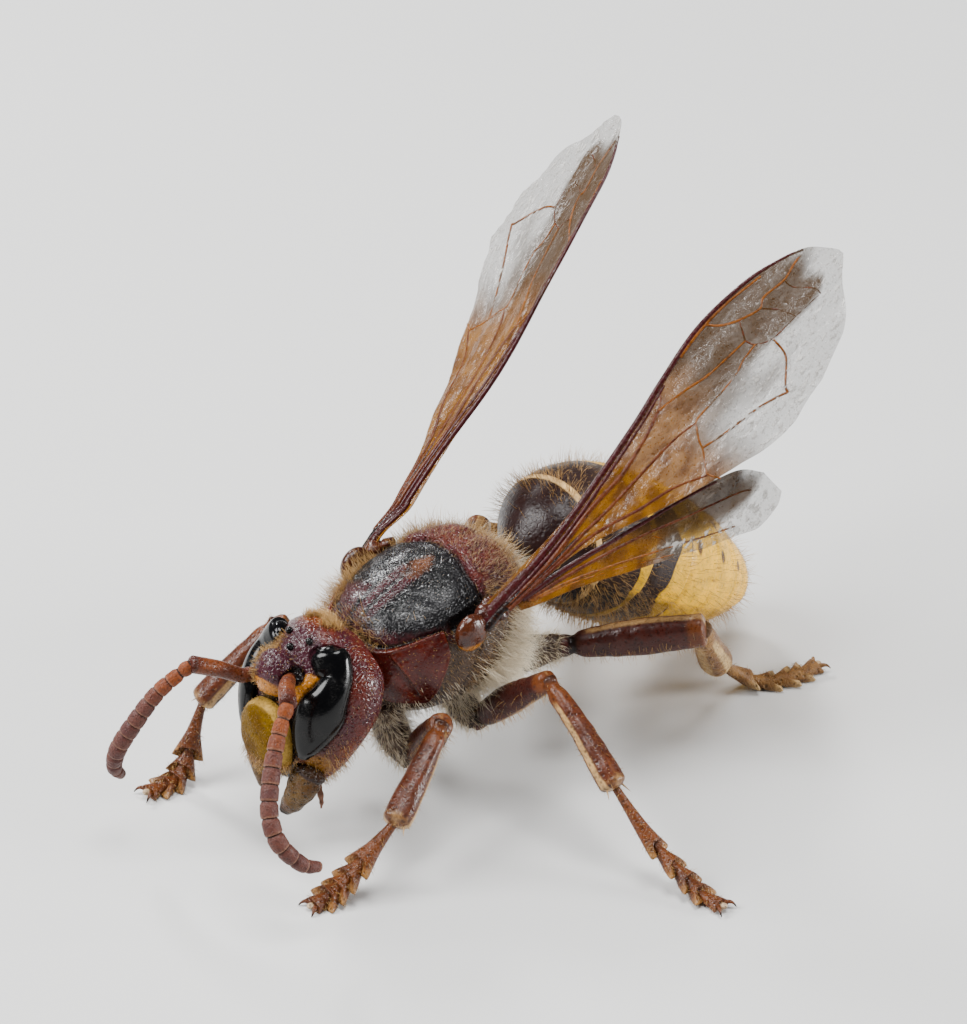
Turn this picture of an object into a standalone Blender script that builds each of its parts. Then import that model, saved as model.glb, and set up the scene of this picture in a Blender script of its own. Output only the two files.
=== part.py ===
"""A European hornet drone, standing on six feet with its wings raised and held apart.

Sizes are in millimetres in the body's own frame and become metres at the end. In that frame the
animal's left side is +X, its tail is +Y and its back is +Z, with the origin in the middle of the
thorax, STAND above the floor.
"""

import math

import bmesh
import bpy
import numpy as np

MM = 0.001
GAP = 0.3
STAND = 7.05
FLOOR = -STAND
CENTRE_X = 3.285
CENTRE_Y = 2.855

# Thorax: distance along the body, half width, height of the top, height of the underside.
THORAX = (
    (-4.1, 0.9, 0.2, -1.2),
    (-3.75, 1.7, 0.85, -1.8),
    (-3.2, 2.35, 1.55, -2.45),
    (-2.1, 3.0, 2.15, -2.95),
    (-0.8, 3.3, 2.6, -3.15),
    (0.5, 3.4, 2.9, -3.15),
    (1.7, 3.2, 3.05, -3.0),
    (2.8, 2.75, 2.95, -2.6),
    (3.7, 2.15, 2.55, -1.9),
    (4.3, 1.4, 2.0, -0.9),
    (4.6, 0.8, 1.5, -0.1),
)
THORAX_POWER = 2.3
SCUTUM_FRONT = -3.7
COLLAR_REACH = 2.45
COLLAR_RISE = 4.5
COLLAR_HALF_WIDTH = 3.2
COLLAR_POWER = 4
COLLAR_LEAN = 0.15
SUTURE_Y = 1.0
SCUTELLUM_FLOOR = 1.5
PROPODEUM_Y = 3.35

# Head: height, half width, where it is widest, front of the face, back of the head.
HEAD = (
    (2.15, 0.35, -5.6, -6.0, -5.25),
    (2.0, 0.95, -5.5, -6.45, -4.85),
    (1.65, 1.5, -5.45, -6.95, -4.5),
    (1.3, 1.85, -5.35, -7.35, -4.15),
    (0.9, 2.2, -5.3, -7.7, -3.95),
    (0.5, 2.55, -5.3, -7.95, -3.8),
    (0.0, 2.85, -5.3, -8.15, -3.75),
    (-0.8, 3.0, -5.4, -8.2, -3.9),
    (-1.5, 2.95, -5.7, -8.25, -4.2),
    (-2.2, 2.75, -6.1, -8.25, -4.7),
    (-2.9, 2.45, -6.5, -8.15, -5.3),
    (-3.5, 2.05, -6.8, -7.95, -5.8),
    (-4.0, 1.45, -7.0, -7.7, -6.35),
    (-4.2, 0.7, -7.0, -7.35, -6.7),
)
FACE_POWER = 1.55
NAPE_POWER = 2.6
# The head leans to its right about a pivot in the neck.
HEAD_TILT = math.radians(5)
HEAD_PIVOT = (0.0, -4.5, -0.3)

# Eye: a bent bean along its middle line, with half width and half height.
EYE = (
    (1.42, -6.1, 1.62, 0.35, 0.3),
    (1.52, -6.12, 1.38, 0.68, 0.5),
    (1.74, -6.18, 0.95, 0.75, 0.55),
    (1.92, -6.42, 0.5, 0.74, 0.55),
    (1.96, -6.82, -0.05, 0.95, 0.6),
    (1.94, -7.2, -0.7, 1.0, 0.62),
    (1.85, -7.5, -1.4, 0.85, 0.58),
    (1.7, -7.78, -2.05, 0.52, 0.45),
    (1.63, -7.88, -2.4, 0.28, 0.28),
)

# Raised shield between the feelers and the three small eyes of the crown: middle, half sizes.
SHIELD = ((0.0, -7.8, 0.5), (0.72, 0.72, 0.95))
SMALL_EYES = ((0.0, -6.85, 1.72), (0.5, -6.3, 1.86), (-0.5, -6.3, 1.86))
SMALL_EYE_HALF = (0.2, 0.2, 0.16)

# Clypeus: a shield of half width and height about its middle.
CLYPEUS_MIDDLE = (0.0, -8.15, -1.85)
CLYPEUS_HALF = (1.3, 1.52)
CLYPEUS_BULGE = 0.85

MANDIBLE_LEFT = (
    (1.5, -7.5, -3.3, 0.75, 0.5),
    (1.25, -7.8, -4.05, 0.66, 0.45),
    (0.85, -7.95, -4.75, 0.48, 0.38),
    (0.42, -8.0, -5.3, 0.24, 0.24),
)
MANDIBLE_RIGHT = (
    (1.45, -7.45, -3.3, 0.72, 0.5),
    (1.2, -7.7, -3.95, 0.62, 0.45),
    (0.85, -7.8, -4.5, 0.45, 0.38),
    (0.5, -7.8, -4.95, 0.24, 0.24),
)

# Feelers: rows of a point and a half width, from the socket to the tip.
SCAPE_LEFT = ((0.75, -7.75, 0.79, 0.3), (1.75, -8.75, 1.28, 0.36), (2.84, -9.64, 1.48, 0.36))
FEELER_LEFT = (
    (2.84, -9.64, 1.48, 0.26),
    (3.33, -10.62, 0.38, 0.32),
    (3.91, -11.44, -0.73, 0.36),
    (4.54, -12.05, -1.84, 0.36),
    (5.19, -12.12, -2.81, 0.36),
    (5.74, -11.42, -3.8, 0.31),
    (5.92, -10.72, -4.14, 0.22),
)
SCAPE_RIGHT = (
    (-0.94, -7.85, 0.6, 0.3),
    (-1.1, -8.5, 0.38, 0.32),
    (-1.5, -9.4, 0.85, 0.36),
    (-1.92, -10.5, 1.33, 0.36),
)
FEELER_RIGHT = (
    (-1.92, -10.5, 1.33, 0.26),
    (-2.53, -11.7, 0.26, 0.32),
    (-3.01, -12.66, -1.18, 0.36),
    (-3.45, -13.08, -2.35, 0.36),
    (-3.83, -12.96, -3.4, 0.31),
    (-3.97, -12.53, -4.0, 0.22),
)
FEELER_RINGS = (6, 5)
# Along each ring of a feeler: how far, and the share of its full width there.
FEELER_RING = ((0.0, 0.84), (0.22, 1.0), (0.86, 1.0))

# Abdomen: distance along the body, height of its axis, half width, half height.
GASTER = (
    (4.95, 0.95, 0.55, 0.5),
    (5.35, 1.0, 1.05, 1.0),
    (6.0, 1.05, 1.85, 1.75),
    (6.8, 1.05, 2.6, 2.4),
    (7.8, 0.9, 3.2, 2.88),
    (9.0, 0.45, 3.6, 3.15),
    (10.3, -0.3, 3.75, 3.25),
    (11.8, -1.25, 3.75, 3.2),
    (13.4, -2.25, 3.55, 3.0),
    (15.0, -3.25, 3.15, 2.6),
    (16.5, -4.15, 2.5, 2.0),
    (17.7, -4.85, 1.7, 1.3),
    (18.5, -5.3, 0.75, 0.55),
)
GASTER_ENDS = (0.0, 0.16, 0.31, 0.47, 0.61, 0.74, 0.86, 1.0)
GASTER_FLARE = 0.02
SLIT = 0.4

LIMB_SIDES = 8

# Toes: how far along the tarsus each of its five joints ends.
TOES = (0.44, 0.6, 0.73, 0.84, 1.0)
# Along each joint of a tarsus: how far, and the share of its full width there.
TOE = ((0.0, 0.72), (0.92, 1.12))
CLAW_REACH = 0.5
CLAW_SPREAD = 0.3
SPUR_REACH = 0.65
SPUR_SPREAD = 0.78
SPIKE_HALF = 0.13
SPUR_ROOT = 0.32
# Sides of each tibia that carry a spur: 1 is outward.
SPURS = {"fore": (-1,), "mid": (1, -1), "hind": (1, -1)}

# Legs: points of the coxa, knee and ankle, then the tarsus down to the toes.
LEG_FORE = {
    "coxa": ((1.1, -3.0, -2.2, 0.75), (1.5, -2.7, -3.7, 0.7), (2.1, -2.3, -4.75, 0.45)),
    "femur": ((2.1, -2.3, -4.75, 0.4, 0.4), (2.9, -2.35, -3.5, 0.6, 0.65), (4.15, -2.65, -1.85, 0.5, 0.5)),
    "tibia": ((4.15, -2.65, -1.85, 0.4, 0.4), (4.8, -4.3, -2.95, 0.55, 0.55), (5.5, -6.2, -4.15, 0.55, 0.5)),
    "tarsus": (
        (5.5, -6.2, -4.15, 0.3, 0.28),
        (5.3, -7.5, -5.3, 0.36, 0.32),
        (5.05, -8.7, -6.35, 0.4, 0.34),
        (4.9, -9.4, -6.8, 0.42, 0.36),
        (4.82, -9.9, -6.95, 0.35, 0.28),
    ),
}
LEG_FORE_RIGHT = {
    "coxa": ((1.1, -3.0, -2.2, 0.75), (1.5, -2.9, -3.4, 0.7), (2.1, -2.8, -4.4, 0.45)),
    "femur": ((2.1, -2.8, -4.4, 0.4, 0.4), (2.95, -3.4, -2.5, 0.6, 0.65), (4.0, -4.3, -0.25, 0.5, 0.5)),
    "tibia": ((4.0, -4.3, -0.25, 0.4, 0.4), (4.7, -5.6, -1.8, 0.5, 0.5), (5.4, -6.96, -3.43, 0.5, 0.45)),
    "tarsus": (
        (5.4, -6.96, -3.43, 0.28, 0.26),
        (5.4, -7.5, -4.8, 0.32, 0.3),
        (5.35, -8.0, -6.05, 0.36, 0.3),
        (5.35, -8.6, -6.72, 0.36, 0.3),
        (5.5, -9.75, -6.88, 0.33, 0.26),
    ),
}
LEG_MID = {
    "coxa": ((1.4, 0.6, -2.5, 0.8), (1.8, 0.8, -3.5, 0.7), (2.4, 1.0, -4.1, 0.45)),
    "femur": ((2.4, 1.0, -4.1, 0.4, 0.4), (3.8, 1.2, -2.6, 0.55, 0.6), (6.0, 1.43, -0.6, 0.45, 0.45)),
    "tibia": ((6.0, 1.43, -0.6, 0.4, 0.4), (8.0, 1.35, -1.85, 0.48, 0.48), (10.1, 1.15, -3.3, 0.5, 0.48)),
    "tarsus": (
        (10.1, 1.15, -3.3, 0.28, 0.26),
        (12.0, 1.5, -5.2, 0.3, 0.28),
        (13.5, 1.88, -6.3, 0.34, 0.3),
        (14.4, 2.0, -6.75, 0.36, 0.3),
        (15.35, 2.12, -6.9, 0.33, 0.26),
    ),
}
LEG_MID_RIGHT = {
    "coxa": LEG_MID["coxa"],
    "femur": ((2.4, 1.0, -4.1, 0.4, 0.4), (3.6, 1.3, -2.4, 0.55, 0.6), (5.2, 1.6, -0.4, 0.45, 0.45)),
    "tibia": ((5.2, 1.6, -0.4, 0.4, 0.4), (6.5, 2.1, -2.2, 0.48, 0.48), (7.6, 2.6, -4.2, 0.5, 0.48)),
    "tarsus": (
        (7.6, 2.6, -4.2, 0.28, 0.26),
        (8.0, 3.2, -5.8, 0.3, 0.28),
        (8.35, 4.2, -6.7, 0.34, 0.3),
        (8.6, 5.6, -6.78, 0.36, 0.3),
        (8.9, 7.0, -6.88, 0.33, 0.26),
    ),
}
LEG_HIND = {
    "coxa": ((1.3, 3.0, -2.0, 0.9), (1.9, 4.1, -2.3, 0.8), (2.7, 5.3, -2.1, 0.5)),
    "femur": ((2.7, 5.3, -2.1, 0.45, 0.45), (4.8, 7.4, -1.55, 0.6, 0.72), (7.0, 9.25, -0.9, 0.6, 0.7)),
    "tibia": ((7.0, 9.25, -0.9, 0.45, 0.5), (6.0, 10.8, -2.8, 0.6, 0.6), (4.95, 12.5, -4.7, 0.6, 0.6)),
    "tarsus": (
        (4.95, 12.5, -4.7, 0.28, 0.28),
        (4.7, 14.0, -6.0, 0.3, 0.28),
        (5.2, 15.2, -6.72, 0.33, 0.3),
        (5.7, 16.4, -6.78, 0.34, 0.3),
        (5.75, 17.9, -6.85, 0.33, 0.26),
    ),
}
LEG_HIND_RIGHT = {
    "coxa": LEG_HIND["coxa"],
    "femur": ((2.7, 5.3, -2.1, 0.45, 0.45), (4.6, 7.3, -2.1, 0.6, 0.7), (6.4, 9.3, -2.0, 0.55, 0.6)),
    "tibia": ((6.4, 9.3, -2.0, 0.45, 0.45), (6.2, 11.3, -3.5, 0.6, 0.6), (5.8, 13.4, -5.0, 0.6, 0.6)),
    "tarsus": (
        (5.8, 13.4, -5.0, 0.28, 0.28),
        (5.8, 14.9, -6.2, 0.3, 0.28),
        (5.9, 16.1, -6.74, 0.33, 0.3),
        (6.1, 17.3, -6.78, 0.34, 0.3),
        (6.2, 18.6, -6.85, 0.33, 0.26),
    ),
}

# Wing plane: root, the way to the tip, the way to the rear edge.
WING_ROOT = (3.45, 0.49, 1.9)
WING_TIP_LEFT = (6.3, 16.85, 13.4)
WING_TIP_RIGHT = (5.3, 15.5, 15.85)
WING_FACE = (0.4636, -0.5868, 0.6639)
HINDWING_DROOP_LEFT = math.radians(20)
HINDWING_DROOP_RIGHT = math.radians(37)
WING_THICK = 0.5
# How much longer than the stations below each side's wings are.
STRETCH_LEFT = 0.99
STRETCH_RIGHT = 1.02
# Distance from the root, then the front and the rear edge across the wing.
FOREWING = (
    (0.6, -0.32, 0.33),
    (2.4, -0.35, 0.5),
    (4.4, -0.42, 0.88),
    (6.8, -0.7, 1.68),
    (9.2, -1.14, 2.5),
    (11.3, -1.64, 3.08),
    (13.3, -2.04, 3.5),
    (15.3, -2.2, 3.2),
    (17.1, -2.1, 2.7),
    (18.6, -1.74, 2.0),
    (19.6, -1.26, 1.15),
    (20.25, -0.65, 0.4),
)
HINDWING = (
    (1.6, 0.75, 1.25),
    (3.2, 0.95, 1.9),
    (5.2, 1.5, 2.95),
    (7.2, 2.1, 4.0),
    (9.0, 2.65, 4.95),
    (10.4, 3.1, 5.5),
    (11.4, 3.45, 5.4),
    (11.9, 4.1, 5.0),
)
# Main veins: distance from the root, then the place from the front edge to the rear edge.
VEINS = {
    "forewing": (
        ((0.6, 0.18), (4.4, 0.15), (9.2, 0.08), (13.3, 0.06), (17.1, 0.07), (20.3, 0.2)),
        ((0.6, 0.4), (5.8, 0.32), (9.3, 0.22), (10.7, 0.18), (12.1, 0.23), (15.2, 0.34), (16.0, 0.45), (20.3, 0.45)),
        ((0.6, 0.62), (5.0, 0.58), (8.9, 0.43), (11.3, 0.46), (15.2, 0.46), (16.2, 0.6), (20.3, 0.66)),
        ((0.6, 0.84), (7.2, 0.84), (10.0, 0.86), (12.0, 0.71), (13.4, 0.72), (14.8, 0.82), (20.3, 0.86)),
    ),
    "hindwing": (
        ((1.6, 0.22), (6.0, 0.14), (11.9, 0.2)),
        ((1.6, 0.5), (6.0, 0.45), (11.9, 0.5)),
        ((1.6, 0.78), (6.0, 0.74), (11.9, 0.78)),
    ),
}
VEIN_RISE = 0.12
VEIN_HALF = 0.13
# The veins sink back into the membrane from this share of the wing's length on.
VEIN_FADE = 0.8

TEGULA_MIDDLE = (3.45, -0.45, 1.25)
TEGULA_HALF = (0.45, 0.78, 0.8)

COLOURS = {
    "maroon": (0.16, 0.035, 0.02, 0.35),
    "black": (0.01, 0.01, 0.012, 0.12),
    "leather": (0.03, 0.025, 0.025, 0.45),
    "olive": (0.45, 0.33, 0.03, 0.4),
    "amber": (0.35, 0.12, 0.02, 0.3),
    "brown": (0.2, 0.07, 0.03, 0.4),
    "yellow": (0.75, 0.45, 0.05, 0.4),
    "wing": (0.35, 0.17, 0.05, 0.25),
}


def material(colour):
    """The shared material of one colour."""
    found = bpy.data.materials.get(colour)
    if found:
        return found
    made = bpy.data.materials.new(colour)
    made.use_nodes = True
    red, green, blue, roughness = COLOURS[colour]
    shader = made.node_tree.nodes["Principled BSDF"]
    shader.inputs["Base Color"].default_value = (red, green, blue, 1.0)
    shader.inputs["Roughness"].default_value = roughness
    made.diffuse_color = (red, green, blue, 1.0)
    return made


def smooth(rows, count):
    """The rows resampled to count rows on a smooth curve through them."""
    rows = np.array(rows, float)
    padded = np.vstack([2 * rows[0] - rows[1], rows, 2 * rows[-1] - rows[-2]])
    place = np.linspace(0, len(rows) - 1, count)
    start = np.minimum(place.astype(int), len(rows) - 2)
    part = (place - start)[:, None]
    p0, p1, p2, p3 = (padded[start + step] for step in range(4))
    bend = 2 * p0 - 5 * p1 + 4 * p2 - p3
    twist = 3 * p1 - p0 - 3 * p2 + p3
    return 0.5 * (2 * p1 + (p2 - p0) * part + bend * part**2 + twist * part**3)


def unit(vectors):
    """Each row scaled to length 1."""
    return vectors / np.linalg.norm(vectors, axis=-1, keepdims=True)


def solid(name, points, faces, colour):
    """A closed mesh object in millimetres, with its faces pointing out."""
    mesh = bpy.data.meshes.new(name)
    mesh.from_pydata([tuple(point) for point in points], [], faces)
    obj = bpy.data.objects.new(name, mesh)
    bpy.context.scene.collection.objects.link(obj)
    mesh.materials.append(material(colour))
    edit(obj, outward)
    return obj


def outward(bm):
    """Triangles whose normals point out."""
    bmesh.ops.triangulate(bm, faces=bm.faces[:])
    bmesh.ops.recalc_face_normals(bm, faces=bm.faces[:])


def edit(obj, change):
    """Runs change on the object's mesh."""
    bm = bmesh.new()
    bm.from_mesh(obj.data)
    change(bm)
    bm.to_mesh(obj.data)
    bm.free()


def loft(name, rings, colour):
    """A skin through rings of equal counts, closed by a fan at each end."""
    count = len(rings[0])
    points = list(np.concatenate(rings)) + [np.mean(rings[0], axis=0), np.mean(rings[-1], axis=0)]
    first = len(points) - 2
    last = first + 1
    end = (len(rings) - 1) * count
    faces = []
    for i in range(count):
        j = (i + 1) % count
        for base in range(0, end, count):
            faces.append((base + i, base + j, base + count + j, base + count + i))
        faces.append((first, j, i))
        faces.append((last, end + i, end + j))
    return solid(name, points, faces, colour)


def oval(centre, across, up, sides, power=2.0):
    """A ring of points on a rounded oval spanned by two half axes."""
    angle = np.linspace(0, 2 * math.pi, sides, endpoint=False)
    cos = np.sign(np.cos(angle)) * np.abs(np.cos(angle)) ** (2 / power)
    sin = np.sign(np.sin(angle)) * np.abs(np.sin(angle)) ** (2 / power)
    return np.array(centre) + cos[:, None] * np.array(across) + sin[:, None] * np.array(up)


def tube(name, spine, sides, hint, colour, blunt=0.35, grow=0.0):
    """A limb along rows of a point, a half width and a half height, with blunt ends, swollen by grow."""
    spine = np.array(spine, float)
    path = spine[:, :3]
    ahead = unit(np.gradient(path, axis=0))
    across = unit(np.cross(ahead, np.array(hint, float)))
    top = np.cross(across, ahead)
    width = spine[:, 3] + grow
    height = (spine[:, 4] if spine.shape[1] > 4 else spine[:, 3]) + grow
    path[0] -= ahead[0] * grow * (1 - blunt)
    path[-1] += ahead[-1] * grow * (1 - blunt)
    rings = [
        oval(path[i], across[i] * width[i], top[i] * height[i], sides) for i in range(len(path))
    ]
    start = path[0] - ahead[0] * width[0] * blunt
    stop = path[-1] + ahead[-1] * width[-1] * blunt
    rings.insert(0, oval(start, across[0] * width[0] * 0.6, top[0] * height[0] * 0.6, sides))
    rings.append(oval(stop, across[-1] * width[-1] * 0.6, top[-1] * height[-1] * 0.6, sides))
    return loft(name, rings, colour)


def trimmed(spine, start, end):
    """The spine with a length cut off each end."""
    spine = np.array(spine, float)
    steps = np.linalg.norm(np.diff(spine[:, :3], axis=0), axis=1)
    length = np.concatenate([[0.0], np.cumsum(steps)])
    wanted = np.linspace(start, length[-1] - end, len(spine))
    return np.stack([np.interp(wanted, length, spine[:, k]) for k in range(spine.shape[1])], axis=1)


def mirrored(rows, side):
    """Rows with X multiplied by side."""
    rows = np.array(rows, float)
    rows[:, 0] *= side
    return rows


def apply_boolean(obj, others, operation):
    """The Boolean of obj with a group of objects, applied; the group is then removed."""
    group = bpy.data.collections.new("group")
    for other in others:
        group.objects.link(other)
    cut = obj.modifiers.new("cut", "BOOLEAN")
    cut.operation = operation
    cut.solver = "EXACT"
    cut.operand_type = "COLLECTION"
    cut.collection = group
    graph = bpy.context.evaluated_depsgraph_get()
    mesh = bpy.data.meshes.new_from_object(obj.evaluated_get(graph))
    obj.modifiers.clear()
    old = obj.data
    obj.data = mesh
    bpy.data.meshes.remove(old)
    for other in others:
        bpy.data.objects.remove(other)
    bpy.data.collections.remove(group)
    edit(obj, tidy)


def tidy(bm):
    """Welds hair-thin leftovers of a cut and keeps the largest closed surface."""
    bmesh.ops.remove_doubles(bm, verts=bm.verts[:], dist=0.004)
    bmesh.ops.dissolve_degenerate(bm, edges=bm.edges[:], dist=0.004)
    left = set(bm.verts)
    largest = set()
    while left:
        seed = left.pop()
        group = {seed}
        queue = [seed]
        while queue:
            vert = queue.pop()
            for edge in vert.link_edges:
                other = edge.other_vert(vert)
                if other in left:
                    left.discard(other)
                    group.add(other)
                    queue.append(other)
        if len(group) > len(largest):
            largest = group
    bmesh.ops.delete(bm, geom=[v for v in bm.verts if v not in largest], context="VERTS")
    bmesh.ops.triangulate(bm, faces=bm.faces[:])


def subtract(obj, cutter):
    """Cuts the cutter out of obj."""
    apply_boolean(obj, [cutter], "DIFFERENCE")


def fuse(obj, pieces):
    """Joins the pieces to obj."""
    apply_boolean(obj, pieces, "UNION")


def thorax_rings(grow=0.0, sides=26, count=16):
    """Rings of the thorax, each swollen by grow."""
    rows = smooth(THORAX, count)
    rows[0, 0] -= grow
    rows[-1, 0] += grow
    rings = []
    for y, half, top, low in rows:
        centre = (0, y, (top + low) / 2)
        rings.append(
            oval(centre, (half + grow, 0, 0), (0, 0, (top - low) / 2 + grow), sides, THORAX_POWER)
        )
    return rings


def collar_edge(x, z):
    """How far back the collar reaches at a place across the thorax."""
    back = min(COLLAR_REACH, COLLAR_RISE * (abs(x) / COLLAR_HALF_WIDTH) ** COLLAR_POWER)
    return SCUTUM_FRONT + back * (1 + COLLAR_LEAN * min(0.0, z - 0.4))


def sheet_cutter(edge, shift, ahead):
    """A block whose one face follows edge(x, z), set off from it by shift, and fills one side of it."""
    xs = np.linspace(-4.2, 4.2, 43)
    zs = np.array([-6.0, -3.0, -1.5, 0.4, 1.5, 3.0, 6.0])
    far = -20.0 if ahead else 20.0
    near = np.array([[(x, edge(x, z), z) for z in zs] for x in xs])
    slope = np.gradient(near[:, :, 1], xs, axis=0)
    near[:, :, 1] += shift * np.sqrt(1 + slope**2)
    away = near.copy()
    away[:, :, 1] = far
    columns = len(zs)
    total = near.shape[0] * columns
    faces = []
    for i in range(len(xs) - 1):
        for k in range(columns - 1):
            a = i * columns + k
            quad = (a, a + 1, a + columns + 1, a + columns)
            faces.append(quad)
            faces.append(tuple(total + v for v in reversed(quad)))
    rim = [i * columns for i in range(len(xs))]
    rim += [(len(xs) - 1) * columns + k for k in range(1, columns)]
    rim += [i * columns + columns - 1 for i in range(len(xs) - 2, -1, -1)]
    rim += [k for k in range(columns - 2, 0, -1)]
    for a, b in zip(rim, rim[1:] + rim[:1]):
        faces.append((a, b, total + b, total + a))
    points = np.concatenate([near.reshape(-1, 3), away.reshape(-1, 3)])
    return solid("cutter", points, faces, "black")


def box(low, high):
    """A block between two corners."""
    points = [(x, y, z) for x in (low[0], high[0]) for y in (low[1], high[1]) for z in (low[2], high[2])]
    faces = [(0, 1, 3, 2), (4, 6, 7, 5), (0, 4, 5, 1), (2, 3, 7, 6), (0, 2, 6, 4), (1, 5, 7, 3)]
    return solid("cutter", points, faces, "black")


def build_thorax():
    """Collar, middle thorax, scutellum and propodeum out of one barrel."""
    collar = loft("pronotum", thorax_rings(), "maroon")
    subtract(collar, sheet_cutter(collar_edge, -GAP / 2, False))

    middle = loft("mesothorax", thorax_rings(), "leather")
    subtract(middle, sheet_cutter(collar_edge, GAP / 2, True))
    subtract(middle, box((-6, PROPODEUM_Y - GAP / 2, -6), (6, 20, 6)))
    subtract(middle, box((-6, SUTURE_Y, SCUTELLUM_FLOOR), (6, 20, 6)))

    plate = loft("scutellum", thorax_rings(), "maroon")
    subtract(plate, box((-6, -20, -6), (6, SUTURE_Y + GAP, 6)))
    subtract(plate, box((-6, -20, -6), (6, 20, SCUTELLUM_FLOOR + GAP)))
    subtract(plate, box((-6, PROPODEUM_Y - GAP / 2, -6), (6, 20, 6)))

    rear = loft("propodeum", thorax_rings(), "maroon")
    subtract(rear, box((-6, -20, -6), (6, PROPODEUM_Y + GAP / 2, 6)))


def head_rings(sides=28, count=15, grow=0.0):
    """Level rings of the head from the crown down, swollen by grow."""
    angle = np.linspace(0, 2 * math.pi, sides, endpoint=False)
    power = 2 / np.where(np.sin(angle) < 0, FACE_POWER, NAPE_POWER)
    across = np.sign(np.cos(angle)) * np.abs(np.cos(angle)) ** power
    along = np.sign(np.sin(angle)) * np.abs(np.sin(angle)) ** power
    rings = []
    for z, half, widest, front, back in smooth(HEAD, count):
        depth = np.where(along < 0, widest - front, back - widest)
        ring = np.stack([across * half, widest + along * depth, np.full(sides, z)], axis=1)
        rings.append(ring + unit(ring - ring.mean(axis=0)) * grow)
    rings[0][:, 2] += grow
    rings[-1][:, 2] -= grow
    return rings


def tilted(points):
    """Points of the upright head where the tilt takes them."""
    moved = np.array(points, float) - HEAD_PIVOT
    cos, sin = math.cos(HEAD_TILT), math.sin(HEAD_TILT)
    x, z = moved[..., 0].copy(), moved[..., 2].copy()
    moved[..., 0] = cos * x - sin * z
    moved[..., 2] = sin * x + cos * z
    return moved + HEAD_PIVOT


def tilt(obj):
    """Leans an object of the upright head."""
    for vert in obj.data.vertices:
        vert.co = tilted(vert.co)
    return obj


def ball(name, middle, half, colour, grow=0.0, sides=12):
    """A rounded lump of three half sizes, swollen by grow."""
    wide, long, tall = (size + grow for size in half)
    rings = []
    for angle in np.radians((-70, -35, 0, 35, 70)):
        centre = np.array(middle) + (0, long * math.sin(angle), 0)
        share = math.cos(angle)
        rings.append(oval(centre, (wide * share, 0, 0), (0, 0, tall * share), sides))
    return loft(name, rings, colour)


def eye(name, side, grow=0.0):
    """One bean-shaped eye, swollen by grow."""
    spine = smooth(mirrored(EYE, side), 11)
    return tube(name, spine, 12, (side * 0.75, -0.66, 0.0), "black", grow=grow)


def clypeus(name, grow=0.0):
    """The shield of the face, swollen by grow."""
    x, y, z = CLYPEUS_MIDDLE
    rings = []
    for share, out in ((0.9, 0.4), (1.0, 0.1), (1.0, -0.3), (0.82, -0.64), (0.45, -CLYPEUS_BULGE)):
        half = CLYPEUS_HALF[0] * share + grow
        tall = CLYPEUS_HALF[1] * share + grow
        lift = math.copysign(grow, out)
        rings.append(oval((x, y + out + lift, z), (half, 0, 0), (0, 0, tall), 20, 2.6))
    return loft(name, rings, "olive")


def build_head():
    """Head, eyes, clypeus and mandibles, built upright and then leaned over."""
    head = loft("head", head_rings(), "maroon")
    lumps = [ball("lump", *SHIELD, "maroon")]
    lumps += [ball("lump", place, SMALL_EYE_HALF, "maroon", sides=8) for place in SMALL_EYES]
    fuse(head, lumps)
    for side in (1, -1):
        subtract(head, eye("cutter", side, GAP))
    subtract(head, clypeus("cutter", GAP))
    tilt(head)
    subtract(head, loft("cutter", thorax_rings(GAP), "black"))
    shield = clypeus("clypeus")
    for word, side, mandible in (("left", 1, MANDIBLE_LEFT), ("right", -1, MANDIBLE_RIGHT)):
        tilt(eye("eye_" + word, side))
        subtract(shield, eye("cutter", side, GAP))
        jaw = tube("mandible_" + word, smooth(mirrored(mandible, side), 7), 10, (0, 1, 0.2), "olive")
        subtract(jaw, loft("cutter", head_rings(grow=GAP), "black"))
        subtract(jaw, clypeus("cutter", GAP))
        tilt(jaw)
    tilt(shield)


def ringed(spine, ends, profile):
    """The spine read along its joints, which end at shares of its length, each shaped by profile."""
    steps = np.linalg.norm(np.diff(spine[:, :3], axis=0), axis=1)
    length = np.concatenate([[0.0], np.cumsum(steps)])
    places, widths = [], []
    for begin, end in zip((0.0, *ends[:-1]), ends):
        for share, width in profile:
            places.append((begin + (end - begin) * share) * length[-1])
            widths.append(width)
    rows = np.stack([np.interp(places, length, column) for column in spine.T], axis=1)
    rows[:, 3:] *= np.array(widths)[:, None]
    return rows


def build_feelers():
    """Scape and two lengths of each feeler."""
    hint = (0.3, 0.9, 0)
    for word, scape, feeler, side in (
        ("left", SCAPE_LEFT, FEELER_LEFT, 1),
        ("right", SCAPE_RIGHT, FEELER_RIGHT, -1),
    ):
        spine = smooth(scape, 9)
        stalk = tube("scape_" + word, spine, 10, (0, 0, 1), "amber")
        subtract(stalk, tilt(loft("cutter", head_rings(grow=GAP), "black")))
        subtract(stalk, tilt(ball("cutter", *SHIELD, "black", GAP)))
        subtract(stalk, tilt(eye("cutter", side, GAP)))
        curve = smooth(feeler, 21)
        low, high = ([(ring + 1) / count for ring in range(count)] for count in FEELER_RINGS)
        lower = ringed(trimmed(curve[:12], 0.0, 0.15), low, FEELER_RING)
        upper = ringed(trimmed(curve[11:], 0.22, 0.0), high, FEELER_RING)
        root = tube("flagellum_low_" + word, lower, 8, hint, "brown", 0.1)
        subtract(root, tube("cutter", spine, 10, (0, 0, 1), "black", grow=GAP))
        tube("flagellum_tip_" + word, upper, 8, hint, "brown", 0.1)


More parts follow.
